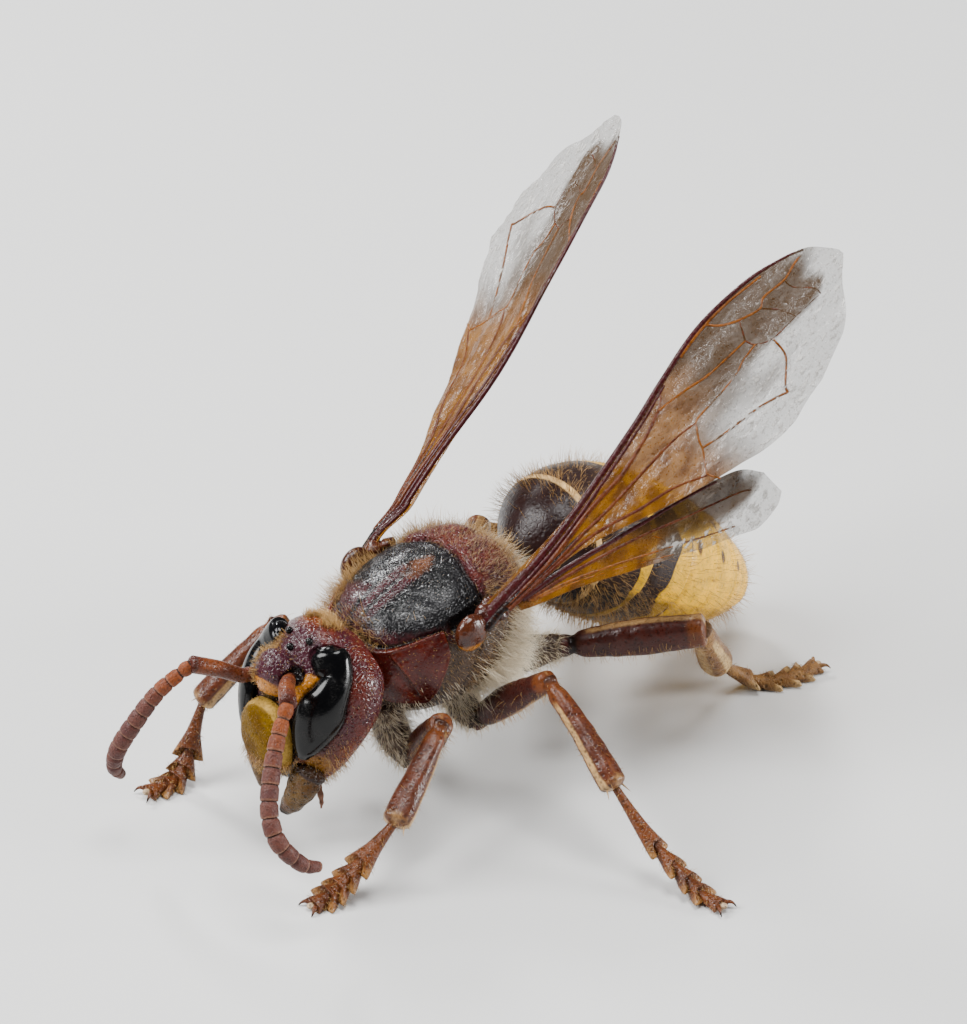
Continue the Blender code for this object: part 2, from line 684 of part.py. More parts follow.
def build_gaster():
    """Abdomen segments as slices of one drooping body, each a gap behind the last."""
    rows = smooth(GASTER, 61)
    names = ["gaster_%d" % (number + 1) for number in range(len(GASTER_ENDS) - 1)]
    colours = ("maroon", "leather", "yellow", "yellow", "yellow", "yellow", "yellow")
    length = np.concatenate([[0.0], np.cumsum(np.linalg.norm(np.diff(rows[:, :2], axis=0), axis=1))])
    ahead = unit(np.gradient(rows[:, :2], axis=0))
    for name, colour, begin, end in zip(names, colours, GASTER_ENDS[:-1], GASTER_ENDS[1:]):
        start = begin * length[-1] + (SLIT / 2 if begin > 0 else 0.0)
        stop = end * length[-1] - (SLIT / 2 if end < 1 else 0.0)
        rings = []
        for share in np.linspace(0, 1, 4 if begin > 0 else 9):
            y, z, half, tall, dy, dz = (
                np.interp(start + (stop - start) * share, length, column)
                for column in (*rows.T, *ahead.T)
            )
            flare = 1 + GASTER_FLARE * (2 * share - 1)
            top = (0, -dz * tall * flare, dy * tall * flare)
            rings.append(oval((0, y, z), (half * flare, 0, 0), top, 26))
        loft(name, rings, colour)


def flat_foot(obj):
    """Cuts the toes flat on the floor."""

    def cut(bm):
        geometry = bm.verts[:] + bm.edges[:] + bm.faces[:]
        bmesh.ops.bisect_plane(
            bm, geom=geometry, plane_co=(0, 0, FLOOR), plane_no=(0, 0, -1), clear_outer=True, dist=0.0001
        )
        open_edges = [edge for edge in bm.edges if edge.is_boundary]
        bmesh.ops.holes_fill(bm, edges=open_edges, sides=0)
        bmesh.ops.triangulate(bm, faces=bm.faces[:])
        bmesh.ops.recalc_face_normals(bm, faces=bm.faces[:])

    edit(obj, cut)


def build_leg(word, sizes, side):
    """Coxa, femur, tibia and tarsus of one leg, each hollowed to sit a gap off the one before."""
    hints = {"coxa": (0, 1, 0.2), "femur": (0.2, 0.1, 1), "tibia": (0.2, 0.1, 1), "tarsus": (0.2, 0.1, 1)}
    before = None
    for part in ("coxa", "femur", "tibia", "tarsus"):
        spine = smooth(mirrored(sizes[part], side), 7)
        shape = ringed(spine, TOES, TOE) if part == "tarsus" else spine
        limb = tube("%s_%s" % (part, word), shape, LIMB_SIDES, hints[part], "brown")
        if part == "tarsus":
            fuse(limb, claws(spine))
        if part == "tibia":
            fuse(limb, spurs(spine, side, SPURS[word.split("_")[0]]))
        if before is None:
            subtract(limb, loft("cutter", thorax_rings(GAP), "black"))
        else:
            subtract(limb, tube("cutter", before[0], LIMB_SIDES, before[1], "black", grow=GAP))
        before = (spine, hints[part])
        if part == "tarsus":
            flat_foot(limb)


def spike(root, tip):
    """A slim tapered spike from a root to a tip."""
    shares = np.array((0.0, 0.5, 1.0))[:, None]
    rows = np.hstack([root + shares * (tip - root), SPIKE_HALF * (1 - 0.75 * shares)])
    return tube("spike", rows, 6, (0.3, 0.2, 1), "amber")


def ends_of(spine):
    """The last point of a limb, the way it runs there and the level way across it."""
    ahead = unit(spine[-1, :3] - spine[-2, :3])
    return spine[-1, :3], ahead, unit(np.cross(ahead, (0, 0, 1)))


def claws(spine):
    """Two claws at the end of a tarsus, spread apart."""
    end, ahead, aside = ends_of(spine)
    return [
        spike(end - ahead * 0.1 + aside * 0.1 * way, end + ahead * CLAW_REACH + aside * CLAW_SPREAD * way)
        for way in (1, -1)
    ]


def spurs(spine, side, ways):
    """Spurs at the end of a tibia, leaning out beside the tarsus."""
    end, ahead, aside = ends_of(spine)
    made = []
    for way in ways:
        out = aside * way * side
        made.append(spike(end - ahead * 0.3 + out * SPUR_ROOT, end + ahead * SPUR_REACH + out * SPUR_SPREAD))
    return made


def build_legs():
    """Six legs."""
    for word, left, right in (
        ("fore", LEG_FORE, LEG_FORE_RIGHT),
        ("mid", LEG_MID, LEG_MID_RIGHT),
        ("hind", LEG_HIND, LEG_HIND_RIGHT),
    ):
        build_leg(word + "_left", left, 1)
        build_leg(word + "_right", right, -1)


def across_wing(reach, front, rear, veins, end):
    """Places across the wing at one reach, and how far each stands out of the membrane."""
    fade = min(1.0, (end - reach) / (end * (1 - VEIN_FADE)))
    places, rises = [front], [0.0]
    for vein in veins:
        middle = front + (rear - front) * np.interp(reach, *np.array(vein).T)
        half = min(VEIN_HALF, (rear - front) * 0.07)
        places += [middle - half, middle, middle + half]
        rises += [0.0, VEIN_RISE * fade, 0.0]
    return np.array(places + [rear]), np.array(rises + [0.0])


def wing(name, stations, veins, side, droop=0.0):
    """A flat blade with raised veins, alike on both faces, its rear edge let down by droop."""
    root = np.array(WING_ROOT)
    tip = np.array(WING_TIP_LEFT if side > 0 else WING_TIP_RIGHT)
    stretch = STRETCH_LEFT if side > 0 else STRETCH_RIGHT
    span = unit(tip - root)
    up = np.array(WING_FACE) - span * np.dot(WING_FACE, span)
    up = unit(up)
    chord = np.cross(span, up)
    hinge = stations[0][1]
    lowered = chord * math.cos(droop) - up * math.sin(droop)
    rise = np.cross(lowered, span)
    rings = []
    for reach, front, rear in smooth(stations, 14):
        places, rises = across_wing(reach, front, rear, veins, stations[-1][0])
        flat = root + span * reach * stretch + chord * hinge + np.outer(places - hinge, lowered)
        lift = np.outer(rises + WING_THICK / 2, rise)
        ring = np.concatenate([flat + lift, (flat - lift)[::-1]])
        ring[:, 0] *= side
        rings.append(ring)
    return loft(name, rings, "wing")


def build_wings():
    """Two blades a side, and the scale over each root."""
    for word, side, low in (("left", 1, HINDWING_DROOP_LEFT), ("right", -1, HINDWING_DROOP_RIGHT)):
        for name, stations, droop in (("forewing", FOREWING, 0.0), ("hindwing", HINDWING, low)):
            blade = wing("%s_%s" % (name, word), stations, VEINS[name], side, droop)
            subtract(blade, loft("cutter", thorax_rings(GAP), "black"))
            subtract(blade, tegula("cutter", side, GAP))
        scale = tegula("tegula_" + word, side)
        subtract(scale, loft("cutter", thorax_rings(GAP), "black"))


def tegula(name, side, grow=0.0):
    """The round scale over a wing root, swollen by grow."""
    return ball(name, mirrored([TEGULA_MIDDLE], side)[0], TEGULA_HALF, "amber", grow)


def to_world(obj):
    """Millimetres in the body's frame to metres on the floor."""
    for vert in obj.data.vertices:
        vert.co.x -= CENTRE_X
        vert.co.y -= CENTRE_Y
        vert.co.z += STAND
        vert.co *= MM
    obj.data.shade_smooth()
    obj.data.set_sharp_from_angle(angle=math.radians(40))


def main():
    """Builds the hornet."""
    for obj in list(bpy.data.objects):
        bpy.data.objects.remove(obj)
    build_thorax()
    build_head()
    build_feelers()
    build_gaster()
    build_legs()
    build_wings()
    for obj in bpy.context.scene.objects:
        to_world(obj)


main()
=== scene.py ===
"""A European hornet drone as a life-size figure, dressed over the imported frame.

Sizes are in millimetres in the body's own frame: +X is the animal's left, +Y its tail and +Z its
back, with the origin in the middle of the thorax. They become metres on the floor in `to_row`.
"""

from __future__ import annotations

import logging
import math
from dataclasses import dataclass, field
from enum import Enum

import bpy
import numpy as np
from mathutils import Matrix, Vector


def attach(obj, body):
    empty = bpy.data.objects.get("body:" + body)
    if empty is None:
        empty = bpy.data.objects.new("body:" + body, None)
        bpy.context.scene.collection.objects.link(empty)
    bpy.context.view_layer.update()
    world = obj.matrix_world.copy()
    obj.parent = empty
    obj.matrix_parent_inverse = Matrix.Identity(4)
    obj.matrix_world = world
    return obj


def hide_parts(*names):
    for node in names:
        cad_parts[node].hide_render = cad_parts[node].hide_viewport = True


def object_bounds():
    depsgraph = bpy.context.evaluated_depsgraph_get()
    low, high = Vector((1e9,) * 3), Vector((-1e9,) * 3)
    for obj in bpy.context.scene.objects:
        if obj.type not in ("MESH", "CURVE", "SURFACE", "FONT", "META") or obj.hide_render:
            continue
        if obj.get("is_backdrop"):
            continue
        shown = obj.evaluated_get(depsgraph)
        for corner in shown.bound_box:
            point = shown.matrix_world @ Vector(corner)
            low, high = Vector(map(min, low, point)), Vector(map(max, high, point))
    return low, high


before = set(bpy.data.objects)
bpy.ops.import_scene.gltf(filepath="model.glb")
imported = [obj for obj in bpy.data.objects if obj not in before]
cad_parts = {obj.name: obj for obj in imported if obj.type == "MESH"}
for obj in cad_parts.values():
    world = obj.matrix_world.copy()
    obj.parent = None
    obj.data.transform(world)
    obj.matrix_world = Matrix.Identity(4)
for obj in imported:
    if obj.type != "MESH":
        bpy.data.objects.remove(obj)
FRAME_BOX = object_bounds()

LOG = logging.getLogger("hornet")
Array = np.ndarray
Colour = tuple[float, float, float]
Rows = tuple[tuple[float, ...], ...]
Socket = bpy.types.NodeSocket

MM = 0.001
STAND = 7.05
LOWEST = 0.02 - STAND
ORIGIN = np.array((3.285, 2.855, -STAND))
BODY = "root"
PHOTO_WIDTH = 967
PHOTO_HEIGHT = 1024


class Side(Enum):
    """Which side of the animal a paired piece is on, and the sign of its X."""

    LEFT = 1
    RIGHT = -1

    @property
    def word(self) -> str:
        """The side's word in a node's name."""
        return self.name.lower()


class Pair(Enum):
    """The three pairs of legs."""

    FORE = "fore"
    MID = "mid"
    HIND = "hind"


def to_row(points: Array) -> Array:
    """Body-frame millimetres as metres on the floor."""
    return (np.asarray(points, float) - ORIGIN) * MM


def unit(vectors: Array) -> Array:
    """Vectors scaled to length 1."""
    length = np.linalg.norm(vectors, axis=-1, keepdims=True)
    return vectors / np.maximum(length, 1e-12)


def step(low: float, high: float, value: Array) -> Array:
    """A smooth rise from 0 at low to 1 at high."""
    share = np.clip((np.asarray(value, float) - low) / (high - low), 0.0, 1.0)
    return share * share * (3 - 2 * share)


def fade(low: float, high: float, value: Array) -> Array:
    """A smooth fall from 1 at low to 0 at high."""
    return 1 - step(low, high, value)


def bell(value: Array, width: float) -> Array:
    """A rounded peak of 1 at zero, width wide."""
    return np.exp(-((np.asarray(value, float) / width) ** 2))


def smooth(rows: Rows | Array, count: int) -> Array:
    """Rows resampled on a smooth curve through them.

    Args:
        rows: The rows that the curve passes through.
        count: How many rows come back.

    Returns:
        The rows of the curve.
    """
    rows = np.array(rows, float)
    padded = np.vstack([2 * rows[0] - rows[1], rows, 2 * rows[-1] - rows[-2]])
    place = np.linspace(0, len(rows) - 1, count)
    start = np.minimum(place.astype(int), len(rows) - 2)
    part = (place - start)[:, None]
    p0, p1, p2, p3 = (padded[start + ahead] for ahead in range(4))
    bend = 2 * p0 - 5 * p1 + 4 * p2 - p3
    twist = 3 * p1 - p0 - 3 * p2 + p3
    return 0.5 * (2 * p1 + (p2 - p0) * part + bend * part**2 + twist * part**3)


def lengths(path: Array) -> Array:
    """How far along a path each of its points lies."""
    steps = np.linalg.norm(np.diff(path[:, :3], axis=0), axis=1)
    return np.concatenate([[0.0], np.cumsum(steps)])


def even(rows: Array, count: int) -> Array:
    """Rows of a path resampled at even lengths along it.

    Args:
        rows: The path's rows, each beginning with a point.
        count: How many rows come back.

    Returns:
        The new rows.
    """
    along = lengths(rows)
    wanted = np.linspace(0, along[-1], count)
    return np.stack([np.interp(wanted, along, column) for column in rows.T], axis=1)


def circle(sides: int, power: float = 2.0) -> tuple[Array, Array]:
    """A rounded ring.

    Args:
        sides: How many points it has.
        power: 2 for a circle and more for a squarer ring.

    Returns:
        The across and up shares of its points.
    """
    angle = np.linspace(0, 2 * math.pi, sides, endpoint=False)
    cos, sin = np.cos(angle), np.sin(angle)
    bent = 2 / power
    return np.sign(cos) * np.abs(cos) ** bent, np.sign(sin) * np.abs(sin) ** bent


def waves(points: Array, size: float, seed: int, count: int = 14) -> Array:
    """Soft seeded unevenness over points, from -1 to 1.

    Args:
        points: The points, in millimetres.
        size: The width of one hump, in millimetres.
        seed: The seed of the draw.
        count: How many waves are added up.

    Returns:
        One value for each point.
    """
    rng = np.random.default_rng(seed)
    total = np.zeros(points.shape[:-1])
    for _ in range(count):
        way = unit(rng.normal(size=3)) * rng.uniform(0.6, 1.6) * math.pi / size
        total += np.sin(points @ way + rng.uniform(0, 2 * math.pi))
    return total / math.sqrt(count)


@dataclass
class Skin:
    """A surface over a grid of points, whose rows run along it and columns round it.

    Fields: the grid in millimetres, whether the columns close into rings, whether the ends are
    closed, and named shares from 0 to 1 over the grid that the finish paints by.
    """

    grid: Array
    closed: bool = True
    capped: bool = True
    masks: dict[str, Array] = field(default_factory=dict)

    def normals(self) -> Array:
        """Finds which way the surface faces.

        Returns:
            Unit normals that point out, over the grid.
        """
        along = np.gradient(self.grid, axis=0)
        if self.closed:
            around = np.roll(self.grid, -1, axis=1) - np.roll(self.grid, 1, axis=1)
        else:
            around = np.gradient(self.grid, axis=1)
        normal = unit(np.cross(around, along))
        middle = self.grid.mean(axis=1, keepdims=True)
        if self.closed and np.sum(normal * (self.grid - middle)) < 0:
            normal = -normal
        return normal

    def push(self, depth: Array) -> "Skin":
        """Moves the surface out along its normals by depth."""
        self.grid = self.grid + self.normals() * np.asarray(depth)[..., None]
        return self

    def move(self, change: "HeadTilt") -> "Skin":
        """Leans the whole surface as the head leans."""
        self.grid = change.lean(self.grid)
        return self

    def faces(self) -> tuple[Array, Array, dict[str, Array]]:
        """Turns the grid into triangles, with its ends closed.

        Returns:
            The points, three point numbers for each triangle, and the masks at the points.
        """
        rows, columns = self.grid.shape[:2]
        points = self.grid.reshape(-1, 3)
        masks = {name: np.broadcast_to(m, (rows, columns)).reshape(-1) for name, m in self.masks.items()}
        index = np.arange(rows * columns).reshape(rows, columns)
        if self.closed:
            index = np.hstack([index, index[:, :1]])
        a, b, c, d = index[:-1, :-1], index[:-1, 1:], index[1:, 1:], index[1:, :-1]
        tris = np.concatenate([np.stack(half, -1).reshape(-1, 3) for half in ((a, b, c), (a, c, d))])
        if self.capped and self.closed:
            for row, flip in ((0, True), (rows - 1, False)):
                ring = index[row]
                centre = np.full(columns, len(points))
                points = np.vstack([points, self.grid[row].mean(axis=0)])
                masks = {name: np.append(m, m[ring[:-1]].mean()) for name, m in masks.items()}
                fan = (centre, ring[1:], ring[:-1]) if flip else (centre, ring[:-1], ring[1:])
                tris = np.concatenate([tris, np.stack(fan, -1)])
        if self.closed and signed_volume(points, tris) < 0:
            tris = tris[:, ::-1]
        return points, tris, masks


def signed_volume(points: Array, tris: Array) -> float:
    """Six times the volume that triangles close in, below zero where they face inwards."""
    a, b, c = (points[tris[:, corner]] for corner in range(3))
    return float(np.sum(a * np.cross(b, c)))


def add_object(name: str, data: bpy.types.ID) -> bpy.types.Object:
    """Makes an object of its data and links it to the scene.

    Args:
        name: The object's name.
        data: Its mesh, lamp or camera.

    Returns:
        The object.
    """
    obj = bpy.data.objects.new(name, data)
    bpy.context.scene.collection.objects.link(obj)
    return obj


def mesh_object(name: str, points: Array, tris: Array, masks: dict[str, Array]) -> bpy.types.Object:
    """A shaded mesh object of triangles.

    Args:
        name: The object's name.
        points: The points in body-frame millimetres.
        tris: Three point numbers for each triangle.
        masks: Shares for the finish, one value for each point.

    Returns:
        The object, linked to the scene.
    """
    mesh = bpy.data.meshes.new(name)
    mesh.vertices.add(len(points))
    mesh.vertices.foreach_set("co", to_row(points).astype(np.float32).ravel())
    mesh.loops.add(tris.size)
    mesh.loops.foreach_set("vertex_index", np.ascontiguousarray(tris, np.int32).ravel())
    mesh.polygons.add(len(tris))
    mesh.polygons.foreach_set("loop_start", np.arange(0, tris.size, 3, dtype=np.int32))
    mesh.update(calc_edges=True)
    mesh.validate()
    for mask, values in masks.items():
        layer = mesh.attributes.new(mask, "FLOAT", "POINT")
        layer.data.foreach_set("value", values.astype(np.float32))
    mesh.shade_smooth()
    return add_object(name, mesh)


def dress(obj: bpy.types.Object, finish: "Finish", nodes: tuple[str, ...]) -> None:
    """Paints a piece and lets it ride on the body.

    Args:
        obj: The piece.
        finish: What it is painted with.
        nodes: The solids that it stands for.
    """
    obj.data.materials.append(finish.material())
    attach(obj, BODY)
    if nodes:
        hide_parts(*nodes)
    LOG.info("%s: %d triangles", obj.name, len(obj.data.polygons))


def piece(name: str, skins: list[Skin], finish: "Finish", nodes: tuple[str, ...]) -> None:
    """Joins skins into one dressed piece.

    Args:
        name: The piece's name.
        skins: The surfaces that it is made of.
        finish: What it is painted with.
        nodes: The solids that it stands for.
    """
    points, tris, start = [], [], 0
    names = sorted({mask for skin in skins for mask in skin.masks})
    masks: dict[str, list[Array]] = {mask: [] for mask in names}
    for skin in skins:
        own, faces, painted = skin.faces()
        points.append(own)
        tris.append(faces + start)
        start += len(own)
        for mask in names:
            masks[mask].append(painted.get(mask, np.zeros(len(own))))
    joined = {mask: np.concatenate(values) for mask, values in masks.items()}
    obj = mesh_object(name, np.concatenate(points), np.concatenate(tris), joined)
    dress(obj, finish, nodes)


class Graph:
    """The shader nodes of one material, with coordinates in millimetres."""

    def __init__(self, name: str) -> None:
        """Starts a material with a Principled shader.

        Args:
            name: The material's name.
        """
        self.material = bpy.data.materials.new(name)
        self.material.use_nodes = True
        self.tree = self.material.node_tree
        self.shader = self.tree.nodes["Principled BSDF"]
        place = self.node("ShaderNodeTexCoord", "Object", {})
        scale = {0: place, "Scale": 1 / MM}
        self.millimetres = self.node("ShaderNodeVectorMath", 0, scale, operation="SCALE")

    def put(self, value: object, socket: Socket) -> None:
        """Links or sets a socket.

        Args:
            value: Another socket, a colour or a number.
            socket: The socket that takes it.
        """
        if isinstance(value, bpy.types.NodeSocket):
            self.tree.links.new(value, socket)
        elif isinstance(value, tuple):
            socket.default_value = (*value, 1.0) if len(socket.default_value) == 4 else value
        else:
            socket.default_value = value

    def node(self, kind: str, output: int | str, inputs: dict[int | str, object], **settings: str) -> Socket:
        """Makes a node.

        Args:
            kind: The node's type.
            output: Which of its outputs is wanted.
            inputs: What its inputs take.
            settings: Its properties and what they are set to.

        Returns:
            The output.
        """
        node = self.tree.nodes.new(kind)
        for name, setting in settings.items():
            setattr(node, name, setting)
        for place, value in inputs.items():
            self.put(value, node.inputs[place])
        return node.outputs[output]

    def mask(self, name: str) -> Socket:
        """A named share that the mesh carries."""
        return self.node("ShaderNodeAttribute", "Fac", {}, attribute_name=name)

    def math(self, operation: str, first: object, second: object) -> Socket:
        """One sum on two values."""
        return self.node("ShaderNodeMath", 0, {0: first, 1: second}, operation=operation)

    def times(self, first: object, second: object) -> Socket:
        """The product of two values."""
        return self.math("MULTIPLY", first, second)

    def spread(self, value: object, low: float, high: float, start: float = 0.0, end: float = 1.0) -> Socket:
        """The value between low and high, mapped smoothly to start and end."""
        ends = {"From Min": low, "From Max": high, "To Min": start, "To Max": end, "Value": value}
        return self.node("ShaderNodeMapRange", "Result", ends, interpolation_type="SMOOTHSTEP")

    def mix(self, factor: object, first: object, second: object) -> Socket:
        """Two colours mixed by a factor."""
        return self.node("ShaderNodeMix", 2, {0: factor, 6: first, 7: second}, data_type="RGBA")

    def noise(self, size: float, detail: float = 3.0, stretch: Colour = (1.0, 1.0, 1.0)) -> Socket:
        """Cloudy noise with humps of one size in millimetres, stretched along X, Y and Z."""
        place = self.node("ShaderNodeVectorMath", 0, {0: self.millimetres, 1: stretch}, operation="MULTIPLY")
        return self.node("ShaderNodeTexNoise", "Fac", {"Scale": 1 / size, "Detail": detail, "Vector": place})

    def cells(self, size: float, feature: str = "F1") -> Socket:
        """The distance within cells of one size in millimetres, to their middles or their edges."""
        inputs = {"Scale": 1 / size, "Vector": self.millimetres}
        return self.node("ShaderNodeTexVoronoi", "Distance", inputs, feature=feature)

    def bump(self, height: Socket, depth: float, under: Socket | None = None) -> Socket:
        """Relief of a depth in millimetres on top of any other."""
        inputs = {"Distance": depth * MM, "Height": height}
        return self.node("ShaderNodeBump", "Normal", inputs if under is None else inputs | {"Normal": under})

    def finish(self, values: dict[str, object]) -> bpy.types.Material:
        """Gives the shader its values.

        Args:
            values: A socket, colour or number for each of its inputs.

        Returns:
            The finished material.
        """
        for name, value in values.items():
            self.put(value, self.shader.inputs[name])
        return self.material


class Finish:
    """A finish makes one material and hands the same one out again."""

    name: str

    def material(self) -> bpy.types.Material:
        """The finish's material, made the first time."""
        return bpy.data.materials.get(self.name) or self.paint(Graph(self.name))

    def paint(self, graph: Graph) -> bpy.types.Material:
        """Builds the nodes."""
        raise NotImplementedError


@dataclass(frozen=True)
class Cuticle(Finish):
    """Shell of an insect: blotchy colour, painted marks, punctures, leathery creases and fine grain.

    Fields: two ground colours, marks as pairs of a mask and a colour, the range of roughness, the
    size and depth of punctures, creases and grain in millimetres, how dark the punctures are, how
    much the shell mirrors, how ragged the marks' edges are, and how dark its flecks are.
    """

    name: str
    base: Colour
    blotch: Colour
    marks: tuple[tuple[str, Colour], ...] = ()
    roughness: tuple[float, float] = (0.2, 0.42)
    pit: tuple[float, float] = (0.26, 0.04)
    crease: tuple[float, float] = (0.16, 0.01)
    grain: tuple[float, float] = (0.1, 0.014)
    pit_shade: float = 0.6
    mirror: float = 0.28
    ragged: float = 0.5
    fleck: float = 0.4

    CLOUD_SIZE = 0.8
    FLECK_SIZE = 0.11
    TATTER_SIZE = 0.16
    SHEEN_SIZE = 0.14

    def paint(self, graph: Graph) -> bpy.types.Material:
        """Joins the ground, marks, punctures, creases and grain.

        Args:
            graph: The new material's graph.

        Returns:
            The material.
        """
        cloud = graph.spread(graph.noise(self.CLOUD_SIZE, 5.0), 0.35, 0.68)
        fleck = graph.spread(graph.noise(self.FLECK_SIZE, 4.0), 0.38, 0.7)
        colour = graph.mix(cloud, self.base, self.blotch)
        tatter = graph.times(graph.math("SUBTRACT", graph.noise(self.TATTER_SIZE, 5.0), 0.5), self.ragged)
        for mask, paint in self.marks:
            share = graph.math("ADD", graph.mask(mask), tatter)
            strength = graph.spread(share, 0.12, 0.85)
            own = graph.mix(cloud, paint, tuple(channel * 0.7 for channel in paint))
            colour = graph.mix(strength, colour, own)
        pits = graph.spread(graph.cells(self.pit[0]), 0.1, 0.42)
        creases = graph.spread(graph.cells(self.crease[0], "DISTANCE_TO_EDGE"), 0.0, 0.2)
        shade = graph.times(graph.math("SUBTRACT", 1.0, pits), self.pit_shade)
        colour = graph.mix(shade, colour, tuple(channel * 0.2 for channel in self.base))
        dim = graph.times(fleck, self.fleck)
        colour = graph.mix(dim, colour, tuple(channel * 0.35 for channel in self.base))
        low, high = self.roughness
        rough = graph.spread(graph.noise(self.SHEEN_SIZE, 4.0), 0.34, 0.66, low, high)
        relief = graph.bump(pits, self.pit[1])
        relief = graph.bump(creases, self.crease[1], relief)
        relief = graph.bump(graph.noise(self.grain[0], 3.0), self.grain[1], relief)
        mirror = {"Specular IOR Level": self.mirror}
        return graph.finish({"Base Color": colour, "Roughness": rough, "Normal": relief} | mirror)


@dataclass(frozen=True)
class EyeShell(Finish):
    """Glossy black eye with fine facets, and rougher patches lifted to grey as a painted reflection."""

    name: str = "eye_shell"
    black: Colour = (0.0012, 0.0012, 0.0015)
    reflection_grey: Colour = (0.008, 0.0075, 0.007)
    mirror: float = 0.24

    def paint(self, graph: Graph) -> bpy.types.Material:
        """Joins black, hazy patches lifted to grey as a painted reflection, and a trace of facets.

        Args:
            graph: The new material's graph.

        Returns:
            The material.
        """
        haze = graph.spread(graph.noise(0.5, 4.0), 0.42, 0.66)
        streak = graph.spread(graph.noise(0.05, 4.0, (0.5, 0.5, 1.6)), 0.35, 0.7)
        # Rougher patches whose colour is lifted to grey: a painted reflection.
        reflection_patch = graph.times(haze, streak)
        colour = graph.mix(reflection_patch, self.black, self.reflection_grey)
        rough = graph.math("ADD", graph.times(reflection_patch, 0.3), 0.14)
        relief = graph.bump(graph.noise(0.12, 2.0), 0.003)
        mirror = {"Specular IOR Level": self.mirror}
        return graph.finish({"Base Color": colour, "Roughness": rough, "Normal": relief} | mirror)


@dataclass(frozen=True)
class Membrane(Finish):
    """Wing film: amber towards the root, smoky in the front cells, clear and crinkled at the rear, with
    painted silver glints on the crinkles.
    """

    name: str = "wing_film"
    amber: Colour = (0.2, 0.078, 0.004)
    deep: Colour = (0.09, 0.03, 0.003)
    smoke: Colour = (0.055, 0.027, 0.008)
    clear: Colour = (0.1, 0.085, 0.065)
    speckle: Colour = (0.05, 0.022, 0.008)
    painted_glint: Colour = (0.6, 0.58, 0.55)
    wrinkle_size: float = 0.22
    wrinkle_depth: float = 0.045

    def paint(self, graph: Graph) -> bpy.types.Material:
        """Joins three zones, seen through, with wrinkles, fine specks and painted silver glints on the
        wrinkles' crests.

        Args:
            graph: The new material's graph.

        Returns:
            The material.
        """
        clear, smoke = graph.mask("clear"), graph.mask("smoke")
        cloud = graph.spread(graph.noise(0.5, 5.0, (1.0, 0.5, 0.5)), 0.35, 0.7)
        warm = graph.mix(cloud, self.amber, self.deep)
        colour = graph.mix(smoke, warm, self.smoke)
        colour = graph.mix(clear, colour, self.clear)
        speck = graph.spread(graph.cells(0.17), 0.1, 0.3)
        dots = graph.times(graph.math("SUBTRACT", 1.0, speck), 0.55)
        colour = graph.mix(dots, colour, self.speckle)
        ripple = graph.noise(self.wrinkle_size, 4.0, (1.5, 0.6, 0.6))
        relief = graph.bump(ripple, self.wrinkle_depth)
        relief = graph.bump(graph.noise(0.1, 2.0), 0.008, relief)
        # The wrinkles' crests in the clear zone are painted silver and made more opaque: painted glints.
        crest = graph.spread(ripple, 0.5, 0.68)
        colour = graph.mix(graph.times(crest, graph.times(clear, 0.8)), colour, self.painted_glint)
        body = graph.spread(cloud, 0.0, 1.0, 0.78, 0.85)
        see = graph.mix(clear, body, graph.spread(crest, 0.0, 1.0, 0.28, 0.8))
        return graph.finish(
            {
                "Base Color": colour,
                "Roughness": graph.spread(ripple, 0.3, 0.7, 0.12, 0.3),
                "Normal": relief,
                "Alpha": graph.math("ADD", see, graph.times(dots, 0.3)),
                "Specular IOR Level": 0.5,
                "Coat Weight": 0.15,
                "Coat Roughness": 0.1,
            }
        )


@dataclass(frozen=True)
class Pile(Finish):
    """Fine hair, from one colour to another by each hair's tone and paler at the tips."""

    name: str
    dark: Colour
    light: Colour
    tip: Colour

    def paint(self, graph: Graph) -> bpy.types.Material:
        """Joins a colour by tone, paler towards the tip.

        Args:
            graph: The new material's graph.

        Returns:
            The material.
        """
        colour = graph.mix(graph.mask("tone"), self.dark, self.light)
        colour = graph.mix(graph.times(graph.mask("tip"), 0.6), colour, self.tip)
        grain = graph.noise(0.03, 2.0)
        rough = graph.spread(grain, 0.3, 0.7, 0.35, 0.5)
        return graph.finish({"Base Color": colour, "Roughness": rough, "Normal": graph.bump(grain, 0.002)})


@dataclass(frozen=True)
class Ground(Finish):
    """Plain pale floor with the faintest unevenness."""

    name: str = "pale_floor"
    dim: Colour = (0.6, 0.6, 0.59)
    bright: Colour = (0.65, 0.65, 0.64)

    def paint(self, graph: Graph) -> bpy.types.Material:
        """Joins two pale greys."""
        colour = graph.mix(graph.noise(40.0), self.dim, self.bright)
        return graph.finish({"Base Color": colour, "Roughness": 0.7})


CREAM = (0.5, 0.3, 0.12)
BLACK = (0.004, 0.0035, 0.004)

HEAD_SHELL = Cuticle(
    "head_shell", (0.08, 0.011, 0.006), (0.045, 0.007, 0.012),
    (
        ("frons", (0.045, 0.009, 0.017)),
        ("warm", (0.15, 0.036, 0.007)),
        ("face", (0.42, 0.15, 0.006)),
        ("cheek", (0.26, 0.105, 0.006)),
        ("dark", BLACK),
    ),
    roughness=(0.16, 0.32), pit=(0.2, 0.03), grain=(0.1, 0.006), mirror=0.34, ragged=0.8,
)
SHIELD_SHELL = Cuticle(
    "shield_shell", (0.135, 0.07, 0.0004), (0.085, 0.038, 0.0004),
    (("rim", (0.4, 0.24, 0.05)), ("dusk", (0.15, 0.055, 0.006)), ("dark", BLACK)), pit=(0.24, 0.02),
    pit_shade=0.35, mirror=0.05,
)
JAW_SHELL = Cuticle(
    "jaw_shell", (0.085, 0.04, 0.003), (0.05, 0.016, 0.003), (("dark", (0.016, 0.005, 0.004)),),
    pit=(0.2, 0.05), mirror=0.25,
)
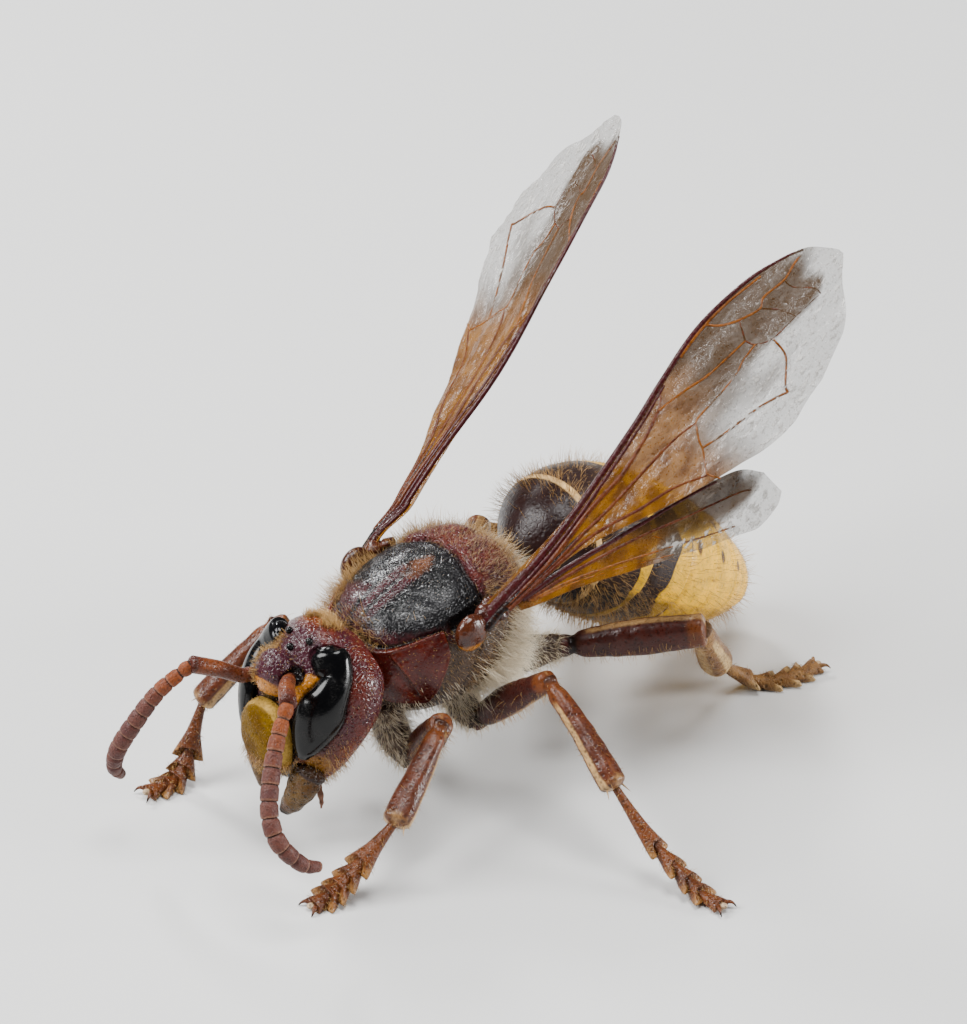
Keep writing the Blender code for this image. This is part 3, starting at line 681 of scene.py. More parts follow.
COLLAR_SHELL = Cuticle(
    "collar_shell", (0.07, 0.006, 0.002), (0.04, 0.004, 0.003),
    (("warm", (0.1, 0.02, 0.006)), ("ridge", (0.1, 0.02, 0.008)), ("dark", (0.006, 0.002, 0.002))),
    roughness=(0.2, 0.34), pit=(0.34, 0.014), crease=(0.16, 0.004), grain=(0.1, 0.005), pit_shade=0.35,
    mirror=0.3,
)
BACK_SHELL = Cuticle(
    "back_shell", (0.0045, 0.004, 0.0045), (0.008, 0.0075, 0.0085),
    (
        ("flank", (0.07, 0.04, 0.024)),
        ("stripe", (0.035, 0.005, 0.008)),
        ("spot", (0.1, 0.032, 0.011)),
        ("edge", (0.045, 0.008, 0.01)),
        ("dark", BLACK),
    ),
    roughness=(0.15, 0.25), pit=(0.18, 0.008), crease=(0.12, 0.009), grain=(0.08, 0.002), mirror=0.25,
    ragged=0.8,
)
PLATE_SHELL = Cuticle(
    "plate_shell", (0.1, 0.016, 0.011), (0.055, 0.009, 0.012),
    (("warm", (0.15, 0.045, 0.018)), ("dark", (0.006, 0.003, 0.003))), pit=(0.22, 0.045),
    crease=(0.16, 0.025), mirror=0.32,
)
REAR_SHELL = Cuticle("rear_shell", (0.045, 0.012, 0.007), (0.07, 0.014, 0.007), (("dark", BLACK),))
SCALE_SHELL = Cuticle(
    "scale_shell", (0.035, 0.007, 0.003), (0.06, 0.014, 0.004),
    (("amber", (0.32, 0.11, 0.004)), ("dark", BLACK)), roughness=(0.16, 0.3), pit=(0.3, 0.008),
    crease=(0.2, 0.003), pit_shade=0.3, mirror=0.4,
)
HINGE_SHELL = Cuticle(
    "hinge_shell", (0.03, 0.005, 0.003), (0.07, 0.015, 0.004), roughness=(0.18, 0.35), pit=(0.3, 0.01),
    crease=(0.2, 0.006), mirror=0.4,
)
BELLY_SHELL = Cuticle(
    "belly_shell", (0.03, 0.016, 0.012), (0.017, 0.009, 0.009),
    (
        ("maroon", (0.013, 0.0035, 0.003)),
        ("yellow", (0.97, 0.53, 0.012)),
        ("gold", (0.75, 0.48, 0.2)),
        ("spot", (0.1, 0.04, 0.006)),
        ("dark", (0.008, 0.005, 0.004)),
    ),
    roughness=(0.28, 0.42), pit=(0.3, 0.012), crease=(0.2, 0.004), grain=(0.12, 0.005), pit_shade=0.2,
    mirror=0.2, ragged=0.35, fleck=0.12,
)
FEELER_SHELL = Cuticle(
    "feeler_shell", (0.1, 0.034, 0.024), (0.065, 0.022, 0.02),
    (("warm", (0.2, 0.045, 0.008)), ("pale", (0.22, 0.1, 0.06)), ("dark", (0.012, 0.005, 0.004))),
    roughness=(0.4, 0.62), pit=(0.14, 0.012), pit_shade=0.35, mirror=0.2,
)
SCAPE_SHELL = Cuticle(
    "scape_shell", (0.14, 0.034, 0.008), (0.08, 0.018, 0.008), (("dark", (0.06, 0.01, 0.005)),),
    pit=(0.2, 0.02),
)
HIP_SHELL = Cuticle("hip_shell", (0.085, 0.055, 0.035), (0.05, 0.03, 0.022), (("dark", BLACK),), mirror=0.2)
LIMB_SHELL = Cuticle(
    "limb_shell", (0.06, 0.011, 0.006), (0.033, 0.007, 0.005),
    (("warm", (0.13, 0.034, 0.007)), ("edge", CREAM), ("dark", (0.006, 0.003, 0.003))),
    roughness=(0.27, 0.44), pit=(0.24, 0.012), crease=(0.2, 0.004), grain=(0.1, 0.006), ragged=0.4,
)
TOE_SHELL = Cuticle(
    "toe_shell", (0.13, 0.036, 0.008), (0.065, 0.018, 0.006),
    (("edge", (0.4, 0.2, 0.06)), ("pad", (0.5, 0.36, 0.22)), ("dark", (0.008, 0.004, 0.003))),
    pit=(0.2, 0.03),
)
PALE_LIMB_SHELL = Cuticle(
    "pale_limb_shell", (0.22, 0.11, 0.035), (0.12, 0.05, 0.018),
    (("edge", (0.6, 0.4, 0.18)), ("pad", (0.5, 0.36, 0.22)), ("dark", (0.05, 0.02, 0.008))),
    roughness=(0.35, 0.55), pit=(0.24, 0.03), mirror=0.2,
)
VEIN_SHELL = Cuticle(
    "vein_shell", (0.1, 0.024, 0.005), (0.055, 0.01, 0.004),
    (("leading", (0.04, 0.004, 0.006)), ("orange", (0.2, 0.06, 0.006)), ("black", (0.005, 0.003, 0.003))),
    roughness=(0.18, 0.35), pit=(0.3, 0.008), crease=(0.2, 0.004), mirror=0.25,
)
GOLD_PILE = Pile("gold_pile", (0.1, 0.045, 0.012), (0.42, 0.22, 0.055), (0.68, 0.44, 0.17))
CREAM_PILE = Pile("cream_pile", (0.28, 0.2, 0.12), (0.8, 0.67, 0.46), (0.95, 0.87, 0.7))
DARK_PILE = Pile("dark_pile", (0.03, 0.018, 0.012), (0.3, 0.17, 0.07), (0.55, 0.38, 0.2))


@dataclass
class Fur:
    """Tapered hairs planted on skins and joined into one mesh of fewer than 200,000 triangles.

    Fields: the piece's name, the seed of its draws, its finish, and the hairs gathered so far.
    """

    name: str
    seed: int
    finish: Finish
    hairs: list[dict[str, Array]] = field(default_factory=list)
    tile: int = 0

    POINTS = 10
    SIDES = 3
    SEED_STEP = 977
    STRAY = 0.22
    MAP_SPOT = 0.003

    def plant(
        self,
        skin: Skin,
        count: int,
        length: tuple[float, float],
        thick: float,
        lie: Colour,
        lift: float = 0.7,
        where: Array | None = None,
        tone: tuple[float, float] = (0.0, 1.0),
        tiles: int = 1,
    ) -> None:
        """Plants hairs on a skin.

        Args:
            skin: The surface they grow from.
            count: How many.
            length: The shortest and the longest, in millimetres.
            thick: Half the width at the root, in millimetres.
            lie: The way that they lean.
            lift: How far they stand up, from 0 to 1.
            where: How densely they grow over the skin's grid.
            tone: The range of their tone.
            tiles: How many such skins share the flat map, in a row of tiles.
        """
        rng = np.random.default_rng(self.seed + self.SEED_STEP * self.tile)
        grid, normals = skin.grid, skin.normals()
        rows, columns = grid.shape[:2]
        right = np.roll(grid, -1, axis=1) - grid
        down = np.roll(grid, -1, axis=0) - grid
        area = np.linalg.norm(np.cross(right, down), axis=-1)
        area[-1] = 0
        if not skin.closed:
            area[:, -1] = 0
        weight = area * (np.ones_like(area) if where is None else where)
        chance = weight.ravel() / weight.sum()
        cell = rng.choice(chance.size, size=count, p=chance)
        i, j = cell // columns, cell % columns
        k, n = (i + 1) % rows, (j + 1) % columns
        u, v = rng.random((2, count, 1))

        def blend(values: Array) -> Array:
            """The grid's value at each root."""
            top, low = (values[row, j] * (1 - u) + values[row, n] * u for row in (i, k))
            return top * (1 - v) + low * v

        normal = unit(blend(normals))
        root = blend(grid)
        lean = np.array(lie) - normal * (normal @ np.array(lie))[:, None]
        stray = rng.normal(scale=self.STRAY, size=(count, 3))
        rise = unit(normal * lift + lean * (1 - lift) + stray * 0.7)
        fall = unit(normal * lift * 0.55 + lean * (1.15 - lift) + stray)
        tall = rng.uniform(*length, size=(count, 1)) * rng.uniform(0.75, 1.1, size=(count, 1))
        flat = np.hstack([(j[:, None] + u) / columns, (i[:, None] + v) / rows])
        flat[:, 0] = (flat[:, 0] * 0.98 + 0.01 + self.tile % tiles) / tiles
        self.tile += 1
        low = root + rise * tall * 0.36
        high = low + unit(rise + fall) * tall * 0.34
        self.hairs.append(
            {
                "root": root - normal * 0.02,
                "low": low,
                "high": high,
                "tip": high + fall * tall * 0.32,
                "wide": np.full((count, 1), thick) * rng.uniform(0.7, 1.2, size=(count, 1)),
                "tone": rng.uniform(*tone, size=count),
                "flat": flat,
            }
        )

    def build(self, slot: str) -> None:
        """Makes the one mesh, with its flat map, and lets it ride on the body.

        Args:
            slot: Not used.
        """
        hair = {key: np.concatenate([part[key] for part in self.hairs]) for key in self.hairs[0]}
        total = len(hair["root"])
        way = unit(hair["tip"] - hair["root"])
        aside = unit(np.cross(way, np.where(np.abs(way[:, 2:]) > 0.9, (1.0, 0, 0), (0, 0, 1.0))))
        other = np.cross(way, aside)
        points = np.zeros((total, self.POINTS, 3))
        for corner in range(self.SIDES):
            turn = 2 * math.pi * corner / self.SIDES
            out = (aside * math.cos(turn) + other * math.sin(turn)) * hair["wide"]
            for ring, (part, width) in enumerate((("root", 1.0), ("low", 0.85), ("high", 0.55))):
                points[:, self.SIDES * ring + corner] = hair[part] + out * width
        points[:, -1] = hair["tip"]
        points[..., 2] = np.maximum(points[..., 2], LOWEST)
        pattern = []
        for base in (0, 3):
            for a in range(3):
                b = (a + 1) % 3
                pattern += [(base + a, base + b, base + 3 + b), (base + a, base + 3 + b, base + 3 + a)]
        pattern += [(6 + a, 6 + (a + 1) % 3, 9) for a in range(3)]
        tris = (np.array(pattern)[None] + np.arange(total)[:, None, None] * self.POINTS).reshape(-1, 3)
        tips = np.tile(np.repeat((0.0, 0.2, 0.6, 1.0), (3, 3, 3, 1)), total)
        masks = {"tone": np.repeat(hair["tone"], self.POINTS), "tip": tips}
        obj = mesh_object(self.name, points.reshape(-1, 3), tris, masks)
        spots = np.array([(across / 2, up / 3) for up in range(3) for across in range(3)] + [(0.5, 1)])
        flat = (hair["flat"][:, None] + spots[None] * self.MAP_SPOT).reshape(-1, 2)
        layer = obj.data.uv_layers.new(name="OFBake")
        corners = np.zeros(len(obj.data.loops), np.int32)
        obj.data.loops.foreach_get("vertex_index", corners)
        layer.data.foreach_set("uv", np.clip(flat, 0, 1)[corners].astype(np.float32).ravel())
        dress(obj, self.finish, ())


END_RINGS = np.array((0.15, 0.45, 0.7, 0.88, 0.97))


def tube(
    spine: Rows | Array,
    sides: int,
    hint: Colour,
    blunt: float = 0.35,
    power: float = 2.0,
    masks: dict[str, Array] | None = None,
) -> Skin:
    """A limb along rows of a point, a half width and a half height, with rounded ends.

    Args:
        spine: The rows.
        sides: Points round each ring.
        hint: A way that fixes how the rings turn.
        blunt: How far the ends bulge, as a share of the width.
        power: 2 for round rings and more for squarer ones.
        masks: Shares along the limb, or over its rings.

    Returns:
        The surface.
    """
    spine = np.array(spine, float)
    path = spine[:, :3]
    ahead = unit(np.gradient(path, axis=0))
    across = unit(np.cross(ahead, np.array(hint, float)))
    top = np.cross(across, ahead)
    width = spine[:, 3]
    height = spine[:, 4] if spine.shape[1] > 4 else width
    cos, sin = circle(sides, power)
    share = np.concatenate([END_RINGS, np.ones(len(path)), END_RINGS[::-1]])
    source = np.pad(np.arange(len(path)), len(END_RINGS), mode="edge")
    side = np.repeat((-1.0, 0.0, 1.0), (len(END_RINGS), len(path), len(END_RINGS)))
    bulge = ahead[source] * width[source, None] * blunt * np.sqrt(1 - share**2)[:, None]
    centres = path[source] + bulge * side[:, None]
    wides, talls = width[source] * share, height[source] * share
    grid = (
        centres[:, None]
        + across[source][:, None] * (wides[:, None] * cos)[..., None]
        + top[source][:, None] * (talls[:, None] * sin)[..., None]
    )
    painted = {}
    for name, mask in (masks or {}).items():
        full = np.asarray(mask, float)[source]
        painted[name] = np.broadcast_to(full[:, None] if full.ndim == 1 else full, grid.shape[:2])
    return Skin(grid, masks=painted)


def egg(middle: Colour | Array, half: Colour, sides: int = 48, rows: int = 32) -> Skin:
    """A rounded lump.

    Args:
        middle: Its middle.
        half: Its half sizes along X, Y and Z.
        sides: Points round each ring.
        rows: How many rings it has.

    Returns:
        The surface.
    """
    angle = np.linspace(-math.pi / 2 + 0.04, math.pi / 2 - 0.04, rows)
    cos, sin = circle(sides)
    share = np.cos(angle)[:, None]
    along = np.broadcast_to(np.sin(angle)[:, None] * half[1], (rows, sides))
    grid = np.stack([cos * share * half[0], along, sin * share * half[2]], axis=-1)
    return Skin(grid + np.array(middle))


def out_of(points: Array, normals: Array, middle: Colour, half: Colour) -> Array:
    """How far points inside an egg shape must go along their normals to reach its skin.

    Args:
        points: The points.
        normals: Their normals.
        middle: The shape's middle.
        half: Its half sizes.

    Returns:
        The distances, 0 for the points outside.
    """
    start = (points - np.array(middle)) / np.array(half)
    way = normals / np.array(half)
    a = np.sum(way * way, axis=-1)
    b = np.sum(start * way, axis=-1)
    c = np.sum(start * start, axis=-1) - 1
    root = np.sqrt(np.maximum(b * b - a * c, 0))
    return np.where(c < 0, (-b + root) / a, 0.0)


def within(points: Array, middle: Colour, half: Colour, soft: float = 0.35) -> Array:
    """1 inside an egg shape, falling to 0 outside it."""
    reach = np.linalg.norm((points - np.array(middle)) / np.array(half), axis=-1)
    return 1 - step(1 - soft, 1 + soft, reach)


@dataclass(frozen=True)
class HeadTilt:
    """The lean of the head about a pivot in the neck."""

    angle: float = math.radians(5)
    pivot: Colour = (0.0, -4.5, -0.3)

    def lean(self, points: Array) -> Array:
        """Leans points.

        Args:
            points: Points of the upright head.

        Returns:
            Where the lean takes them.
        """
        moved = np.array(points, float) - self.pivot
        cos, sin = math.cos(self.angle), math.sin(self.angle)
        x, z = moved[..., 0].copy(), moved[..., 2].copy()
        moved[..., 0] = cos * x - sin * z
        moved[..., 2] = sin * x + cos * z
        return moved + self.pivot


@dataclass
class Thorax:
    """Collar, back, scutellum and rear of the thorax, cut from one barrel.

    Fields: rows of the place along the body, half width, top and underside, and the sizes of the
    sutures between the plates.
    """

    rows: Rows = (
        (-4.1, 0.9, 0.2, -1.2), (-3.75, 1.7, 0.85, -1.8), (-3.2, 2.35, 1.55, -2.45),
        (-2.1, 3.0, 2.15, -2.95), (-0.8, 3.3, 2.6, -3.15), (0.5, 3.4, 2.9, -3.15), (1.7, 3.2, 3.05, -3.0),
        (2.8, 2.75, 2.95, -2.6), (3.7, 2.15, 2.55, -1.9), (4.3, 1.4, 2.0, -0.9), (4.6, 0.8, 1.5, -0.1),
    )
    power: float = 2.3
    front: float = -3.7
    reach: float = 2.45
    suture: float = 1.18
    rear: float = 3.1
    along: int = 300
    around: int = 320

    def collar_edge(self, x: Array, z: Array) -> Array:
        """How far back the collar reaches."""
        back = np.minimum(self.reach, 4.5 * (np.abs(x) / 3.2) ** 4)
        return self.front + back * (1 + 0.15 * np.minimum(0.0, z - 0.4))

    def barrel(self) -> Skin:
        """Bends the bare barrel.

        Returns:
            Its surface.
        """
        place, half, top, low = (column[:, None] for column in smooth(self.rows, self.along).T)
        cos, sin = circle(self.around, self.power)
        along = np.repeat(place, self.around, axis=1)
        return Skin(np.stack([half * cos, along, (top + low) / 2 + (top - low) / 2 * sin], axis=-1))

    def carve(self) -> tuple[Skin, dict[str, Array]]:
        """Cuts the sutures, domes and ridges, and sorts the surface into plates.

        Returns:
            The surface, and for each plate where on the grid it is.
        """
        skin = self.barrel()
        x, y, z = np.moveaxis(skin.grid, -1, 0)
        wide = np.abs(x)
        behind = y - self.collar_edge(x, z)
        cross = self.suture - 0.3 * step(0.6, 1.8, wide)
        upper = step(1.25, 1.55, z)
        side = fade(1.2, 1.6, z)
        flank = side * step(1.6, 2.2, wide)

        depth = -0.11 * bell(behind, 0.07)
        depth += 0.09 * step(-1.3, -0.08, behind) * fade(-0.08, 0.0, behind) * flank
        depth += -0.13 * step(0.0, 0.05, behind) * fade(0.1, 0.7, behind) * flank
        depth += 0.07 * step(0.5, 1.5, behind) * side * step(-2.4, -0.9, z)
        depth += 0.05 * bell(behind + 0.12, 0.06)

        ridge = y - (-3.62 + 0.62 * (0.9 - z)) + 0.25 * (wide - 2.2)
        on_ridge = step(1.3, 1.7, wide) * step(-1.5, -1.0, z) * fade(0.9, 1.3, z)
        on_ridge *= fade(-0.5, -0.1, behind)
        depth += 0.06 * bell(ridge, 0.045) * on_ridge
        depth += -0.08 * step(-0.7, -0.05, ridge) * fade(-0.05, 0.0, ridge) * on_ridge
        skin.masks["ridge"] = bell(ridge, 0.05) * on_ridge + 0.65 * bell(behind + 0.1, 0.05) * flank

        back = upper * step(0.0, 0.1, behind) * fade(-0.1, 0.0, y - cross)
        depth += -0.035 * bell(x, 0.03) * back * fade(-1.2, -0.4, y)
        depth += -0.03 * bell(wide - 1.45 - 0.1 * (y + 1), 0.05) * back * step(-1.2, -0.2, y)
        depth += 0.03 * step(0.1, 0.5, behind) * back
        depth += -0.16 * bell(y - cross, 0.1) * upper
        shield = upper * step(0.0, 0.25, y - cross) * fade(-0.2, 0.0, y - self.rear)
        depth += 0.2 * shield * fade(1.7, 2.5, wide) * (1 - 0.75 * bell(x, 0.28))
        depth += -0.14 * bell(y - self.rear, 0.08) * upper
        depth += 0.09 * bell(y - self.rear - 0.28, 0.12) * upper * fade(1.4, 1.9, wide)
        depth += -0.12 * bell(y - self.rear - 0.52, 0.08) * step(0.3, 0.8, z)
        depth += -0.1 * bell(x, 0.35) * step(3.8, 4.2, y) * step(0.8, 1.4, z)

        edge = z - (1.62 + 0.22 * (y + 1))
        hollow = bell(edge + 0.3, 0.34) * step(-1.15, -0.8, y) * fade(2.1, 2.6, y) * step(2.2, 2.7, wide)
        depth += -0.2 * hollow
        rim = step(-1.1, -0.8, y) * fade(0.9, 1.2, y) * step(2.0, 2.4, wide)
        depth += 0.06 * bell(edge - 0.06, 0.07) * rim
        pleat = y - (-0.2 + 0.5 * (z + 0.4))
        low_side = side * step(0.9, 1.5, behind) * step(-2.6, -2.0, z) * step(1.2, 1.8, wide)
        depth += -0.07 * bell(pleat, 0.07) * low_side
        low = fade(1.0, 1.4, z) * step(0.8, 1.2, behind)
        depth += -0.07 * bell(y - 2.05 - 0.25 * z, 0.07) * side * step(1.2, 1.8, wide)
        depth += 0.018 * waves(skin.grid, 0.6, 5)
        skin.push(depth)

        # The sides' hollow and pleat are handed on as painted shade.
        self.paint(skin, (x, y, z), behind, cross, back, 0.8 * hollow + 0.7 * bell(pleat, 0.05) * low)
        rear_part = y > 3.36
        front_part = ~rear_part & (behind <= 0)
        shield_part = ~rear_part & ~front_part & (y > cross) & (z > 1.62)
        plates = {
            "pronotum": front_part,
            "mesothorax": ~rear_part & ~front_part & ~shield_part,
            "scutellum": shield_part,
            "propodeum": rear_part,
        }
        return skin, plates

    def paint(
        self, skin: Skin, place: tuple[Array, Array, Array],
        behind: Array, cross: Array, back: Array, dim: Array,
    ) -> None:
        """Names the shares that the plates' finishes paint by.

        Args:
            skin: The carved surface.
            place: Its points' X, Y and Z before it was carved.
            behind: How far behind the collar they lie.
            cross: Where the back ends.
            back: Which of them are on the back.
            dim: The painted shade in the sides' hollow and pleat.
        """
        x, y, z = place
        wide = np.abs(x)
        rough = waves(skin.grid, 0.35, 8)
        lane = bell(wide - 0.26 - 0.03 * (y + 3.4), 0.2 + 0.03 * (y + 3.4))
        skin.masks["stripe"] = np.clip(lane * back * fade(-1.0, -0.1, y), 0, 1)
        skin.masks["spot"] = (0.75 + 0.2 * rough) * within(
            skin.grid, (0.12, -0.35, 2.75), (0.5, 0.75, 1.0), 0.6
        )
        margin = fade(0.1, 0.75, behind) * step(0.02, 0.12, behind) * step(0.6, 1.0, z)
        corner = 0.8 * step(-0.5, -0.9, x) * step(-1.6, -2.4, y) * back
        skin.masks["edge"] = np.clip(margin * (0.8 + 0.2 * rough) + corner, 0, 1)
        skin.masks["flank"] = fade(1.35, 1.75, z - 0.15 * y)
        warm = step(0.4, 1.0, rough) * 0.3 + fade(-2.2, -1.2, z) * 0.6 + step(1.6, 2.4, -x) * 0.6
        skin.masks["warm"] = np.clip(warm, 0, 1)
        upper = step(1.4, 1.7, z)
        grooves = bell(behind, 0.05) + (bell(y - cross, 0.08) + bell(y - self.rear, 0.06)) * upper
        # Painted shade in the sides' hollow and pleat joins the dark sutures in the dark mask.
        grooves += bell(y - self.rear - 0.52, 0.07) + dim
        skin.masks["dark"] = np.clip(grooves, 0, 1)

    def build(self) -> Skin:
        """Builds the four plates.

        Returns:
            The whole surface, for the hair that grows on it.
        """
        skin, plates = self.carve()
        finishes = {
            "pronotum": (COLLAR_SHELL, "plate_maroon"),
            "mesothorax": (BACK_SHELL, "scutum_black"),
            "scutellum": (PLATE_SHELL, "plate_maroon"),
            "propodeum": (REAR_SHELL, "plate_maroon"),
        }
        points, tris, masks = skin.faces()
        corner = tris % (self.along * self.around)
        capped = tris.max(axis=1) >= self.along * self.around
        for node, where in plates.items():
            inside = where.ravel()[corner[:, 0]]
            if node == "pronotum":
                inside = np.where(capped, points[tris[:, 0], 1] < 0, inside)
            elif node == "propodeum":
                inside = np.where(capped, points[tris[:, 0], 1] > 0, inside)
            else:
                inside = inside & ~capped
            own = tris[inside]
            used, renumbered = np.unique(own, return_inverse=True)
            part = {mask: values[used] for mask, values in masks.items()}
            obj = mesh_object(node + "_plate", points[used], renumbered.reshape(-1, 3), part)
            finish, slot = finishes[node]
            dress(obj, finish, (node,))
        return skin


@dataclass
class Head:
    """Head capsule with its eyes, small eyes, shield, jaws and palps.

    Fields: rows of height, half width, the place of the greatest width, front and back; the rows
    of the eye and the jaws; and the sizes of the bumps and pits of the face.
    """

    rows: Rows = (
        (2.15, 0.35, -5.6, -6.0, -5.25), (2.0, 0.95, -5.5, -6.45, -4.85), (1.65, 1.5, -5.45, -6.95, -4.5),
        (1.3, 1.85, -5.35, -7.35, -4.15), (0.9, 2.2, -5.3, -7.7, -3.95), (0.5, 2.55, -5.3, -7.95, -3.8),
        (0.0, 2.85, -5.3, -8.15, -3.75), (-0.8, 3.0, -5.4, -8.2, -3.9), (-1.5, 2.95, -5.7, -8.25, -4.2),
        (-2.2, 2.75, -6.1, -8.25, -4.7), (-2.9, 2.45, -6.5, -8.15, -5.3), (-3.5, 2.05, -6.8, -7.95, -5.8),
        (-4.0, 1.45, -7.0, -7.7, -6.35), (-4.2, 0.7, -7.0, -7.35, -6.7),
    )
    face_power: float = 1.55
    nape_power: float = 2.6
    eye_rows: Rows = (
        (1.3, -6.2, 1.6, 0.38, 0.3), (1.42, -6.22, 1.4, 0.7, 0.46), (1.68, -6.2, 1.05, 0.8, 0.55),
        (2.0, -6.28, 0.6, 0.64, 0.55), (2.1, -6.68, 0.1, 0.76, 0.6), (2.0, -7.12, -0.55, 1.0, 0.64),
        (1.83, -7.48, -1.3, 0.9, 0.6), (1.68, -7.76, -2.0, 0.58, 0.47), (1.58, -7.9, -2.4, 0.3, 0.3),
    )
    bump: tuple[Colour, Colour] = ((0.0, -7.72, 0.6), (0.92, 0.78, 1.1))
    small_eyes: tuple[Colour, ...] = ((0.18, -7.02, 1.63), (0.68, -6.48, 1.78), (-0.32, -6.48, 1.8))
    shield_middle: Colour = (0.0, -8.15, -1.85)
    shield_half: tuple[float, float] = (1.3, 1.52)
    shield_profile: Rows = (
        (0.9, 0.4), (1.0, 0.12), (1.01, -0.22), (0.93, -0.5), (0.78, -0.68), (0.5, -0.82), (0.22, -0.87),
        (0.04, -0.88),
    )
    jaw_left: Rows = (
        (1.5, -7.5, -3.3, 0.75, 0.5), (1.25, -7.8, -4.05, 0.66, 0.45), (0.85, -7.95, -4.75, 0.48, 0.38),
        (0.42, -8.0, -5.3, 0.24, 0.24),
    )
    jaw_right: Rows = (
        (1.45, -7.45, -3.3, 0.72, 0.5), (1.2, -7.7, -3.95, 0.62, 0.45), (0.85, -7.8, -4.5, 0.45, 0.38),
        (0.5, -7.8, -4.95, 0.24, 0.24),
    )
    palp: Rows = (
        (1.35, -6.9, -3.7, 0.12), (1.75, -7.0, -4.2, 0.13), (1.95, -7.05, -4.7, 0.1),
        (2.0, -7.1, -5.0, 0.03),
    )
    tilt: HeadTilt = HeadTilt()

    ALONG, AROUND = 190, 236
    SHIELD_ALONG, SHIELD_AROUND = 60, 120
    JAW_ALONG = 70

    def capsule(self) -> Skin:
        """Makes the head's shell with its bump, pits and marks, still upright.

        Returns:
            The surface.
        """
        angle = np.linspace(0, 2 * math.pi, self.AROUND, endpoint=False)
        power = 2 / np.where(np.sin(angle) < 0, self.face_power, self.nape_power)
        cos = np.sign(np.cos(angle)) * np.abs(np.cos(angle)) ** power
        sin = np.sign(np.sin(angle)) * np.abs(np.sin(angle)) ** power
        height, half, widest, front, back = (column[:, None] for column in smooth(self.rows, self.ALONG).T)
        depth = np.where(sin < 0, widest - front, back - widest)
        places = (cos * half, widest + sin * depth, np.repeat(height, self.AROUND, axis=1))
        skin = Skin(np.stack(places, axis=-1))
        self.shape(skin)
        return skin

    def shape(self, skin: Skin) -> None:
        """Raises the bump, sinks the sockets and the beds of the eyes, and names the marks.

        Args:
            skin: The bare shell.
        """
        skin.push(out_of(skin.grid, skin.normals(), *self.bump))
        points = skin.grid
        x, y, z = np.moveaxis(points, -1, 0)
        wide = np.abs(x)
        ahead = step(-6.3, -6.9, y)
        socket = np.zeros_like(x)
        bed = np.zeros_like(x)
        for sign in (1, -1):
            near = within(points, (sign * 0.86, -7.55, 0.72), (0.36, 0.6, 0.36), 0.3)
            socket = np.maximum(socket, near)
            eye = smooth(self.eye_rows, 40) * (sign, 1, 1, 1, 1)
            for row in eye:
                half = row[3] * 0.96
                tall = min(half, *(0.12 + abs(row[2] - end[2]) for end in (eye[0], eye[-1])))
                bed = np.maximum(bed, within(points, tuple(row[:3]), (half, half, tall), 0.07))
        depth = -0.24 * socket - 0.1 * bed
        depth += -0.03 * bell(x, 0.04) * step(0.9, 1.1, z) * fade(1.5, 1.65, z) * ahead
        for place in self.small_eyes:
            depth += 0.06 * within(points, place, (0.34, 0.34, 0.4), 0.6)
        groove = bell(wide - 0.62 - 0.25 * (z - 0.8), 0.12) * step(0.7, 1.0, z) * fade(1.6, 1.9, z)
        depth += -0.012 * groove * ahead
        depth += 0.05 * bell(y - (-4.55 + 0.1 * wide), 0.12) * step(-3.0, -2.0, z)
        depth += 0.006 * waves(points, 0.6, 3)
        skin.push(depth)
        ragged = 0.12 * waves(points, 0.22, 4)
        shield = within(points, (0.0, -8.1, 0.36), (0.72, 0.7, 0.46), 0.16)
        sinus = within(points, (1.22, -7.1, 0.32), (0.66, 0.9, 0.5), 0.16)
        low_face = fade(0.25, 0.5, z) * step(-0.5, -0.2, z) * ahead * fade(1.3, 1.7, wide)
        face = np.maximum(np.maximum(shield, sinus), 0.9 * low_face)
        skin.masks["face"] = np.clip(face * ahead + ragged * face, 0, 1)
        # The notch between the yellow shield of the brow and the face shield is painted dark: painted
        # shadow.
        notch = within(points, (0.0, -8.1, -0.16), (0.62, 0.7, 0.22), 0.3)
        mouth = fade(-3.3, -2.9, z) * step(-7.0, -7.4, y) * fade(1.2, 1.5, wide)
        skin.masks["dark"] = np.clip(1.2 * socket + notch + mouth, 0, 1)
        cheeks = [within(points, (sign * 1.75, -7.2, -3.0), (0.5, 0.6, 0.5), 0.3) for sign in (1, -1)]
        skin.masks["cheek"] = cheeks[0] + cheeks[1]
        lower = fade(-3.2, -1.4, z) * 0.75
        crown = within(points, (0.0, -5.3, 2.1), (1.0, 0.5, 0.5), 0.4)
        skin.masks["warm"] = np.clip(lower + 0.8 * crown, 0, 1)
        skin.masks["frons"] = step(-5.9, -6.4, y) * step(0.5, 0.9, z) * fade(1.2, 1.7, wide)

    def eye(self, side: Side) -> Skin:
        """One bean-shaped eye, upright."""
        spine = smooth(self.eye_rows, 90) * (side.value, 1, 1, 1, 1)
        return tube(spine, 80, (side.value * 0.75, -0.66, 0.0))

    def shield(self) -> Skin:
        """Makes the shield of the face: a dome with a pale rim.

        Returns:
            The surface.
        """
        x, y, z = self.shield_middle
        profile = smooth(self.shield_profile, self.SHIELD_ALONG)
        cos, sin = circle(self.SHIELD_AROUND, 2.6)
        share, out = profile[:, :1], profile[:, 1:]
        trim = 1 - 0.16 * step(0.3, 1.0, sin)
        places = (
            x + cos * trim * share * self.shield_half[0],
            np.repeat(y + out, self.SHIELD_AROUND, axis=1),
            z + sin * share * self.shield_half[1],
        )
        skin = Skin(np.stack(places, axis=-1))
        skin.push(0.012 * waves(skin.grid, 0.45, 12))
        around = np.broadcast_to(sin, share.shape[:1] + sin.shape)
        skin.masks["rim"] = bell(share - 0.97, 0.06) * step(0.2, 0.0, out) * np.ones_like(around)
        skin.masks["dusk"] = step(-0.3, -0.85, around * share) * 0.8
        skin.masks["dark"] = fade(-0.05, 0.1, -out) * np.ones_like(around)
        return skin

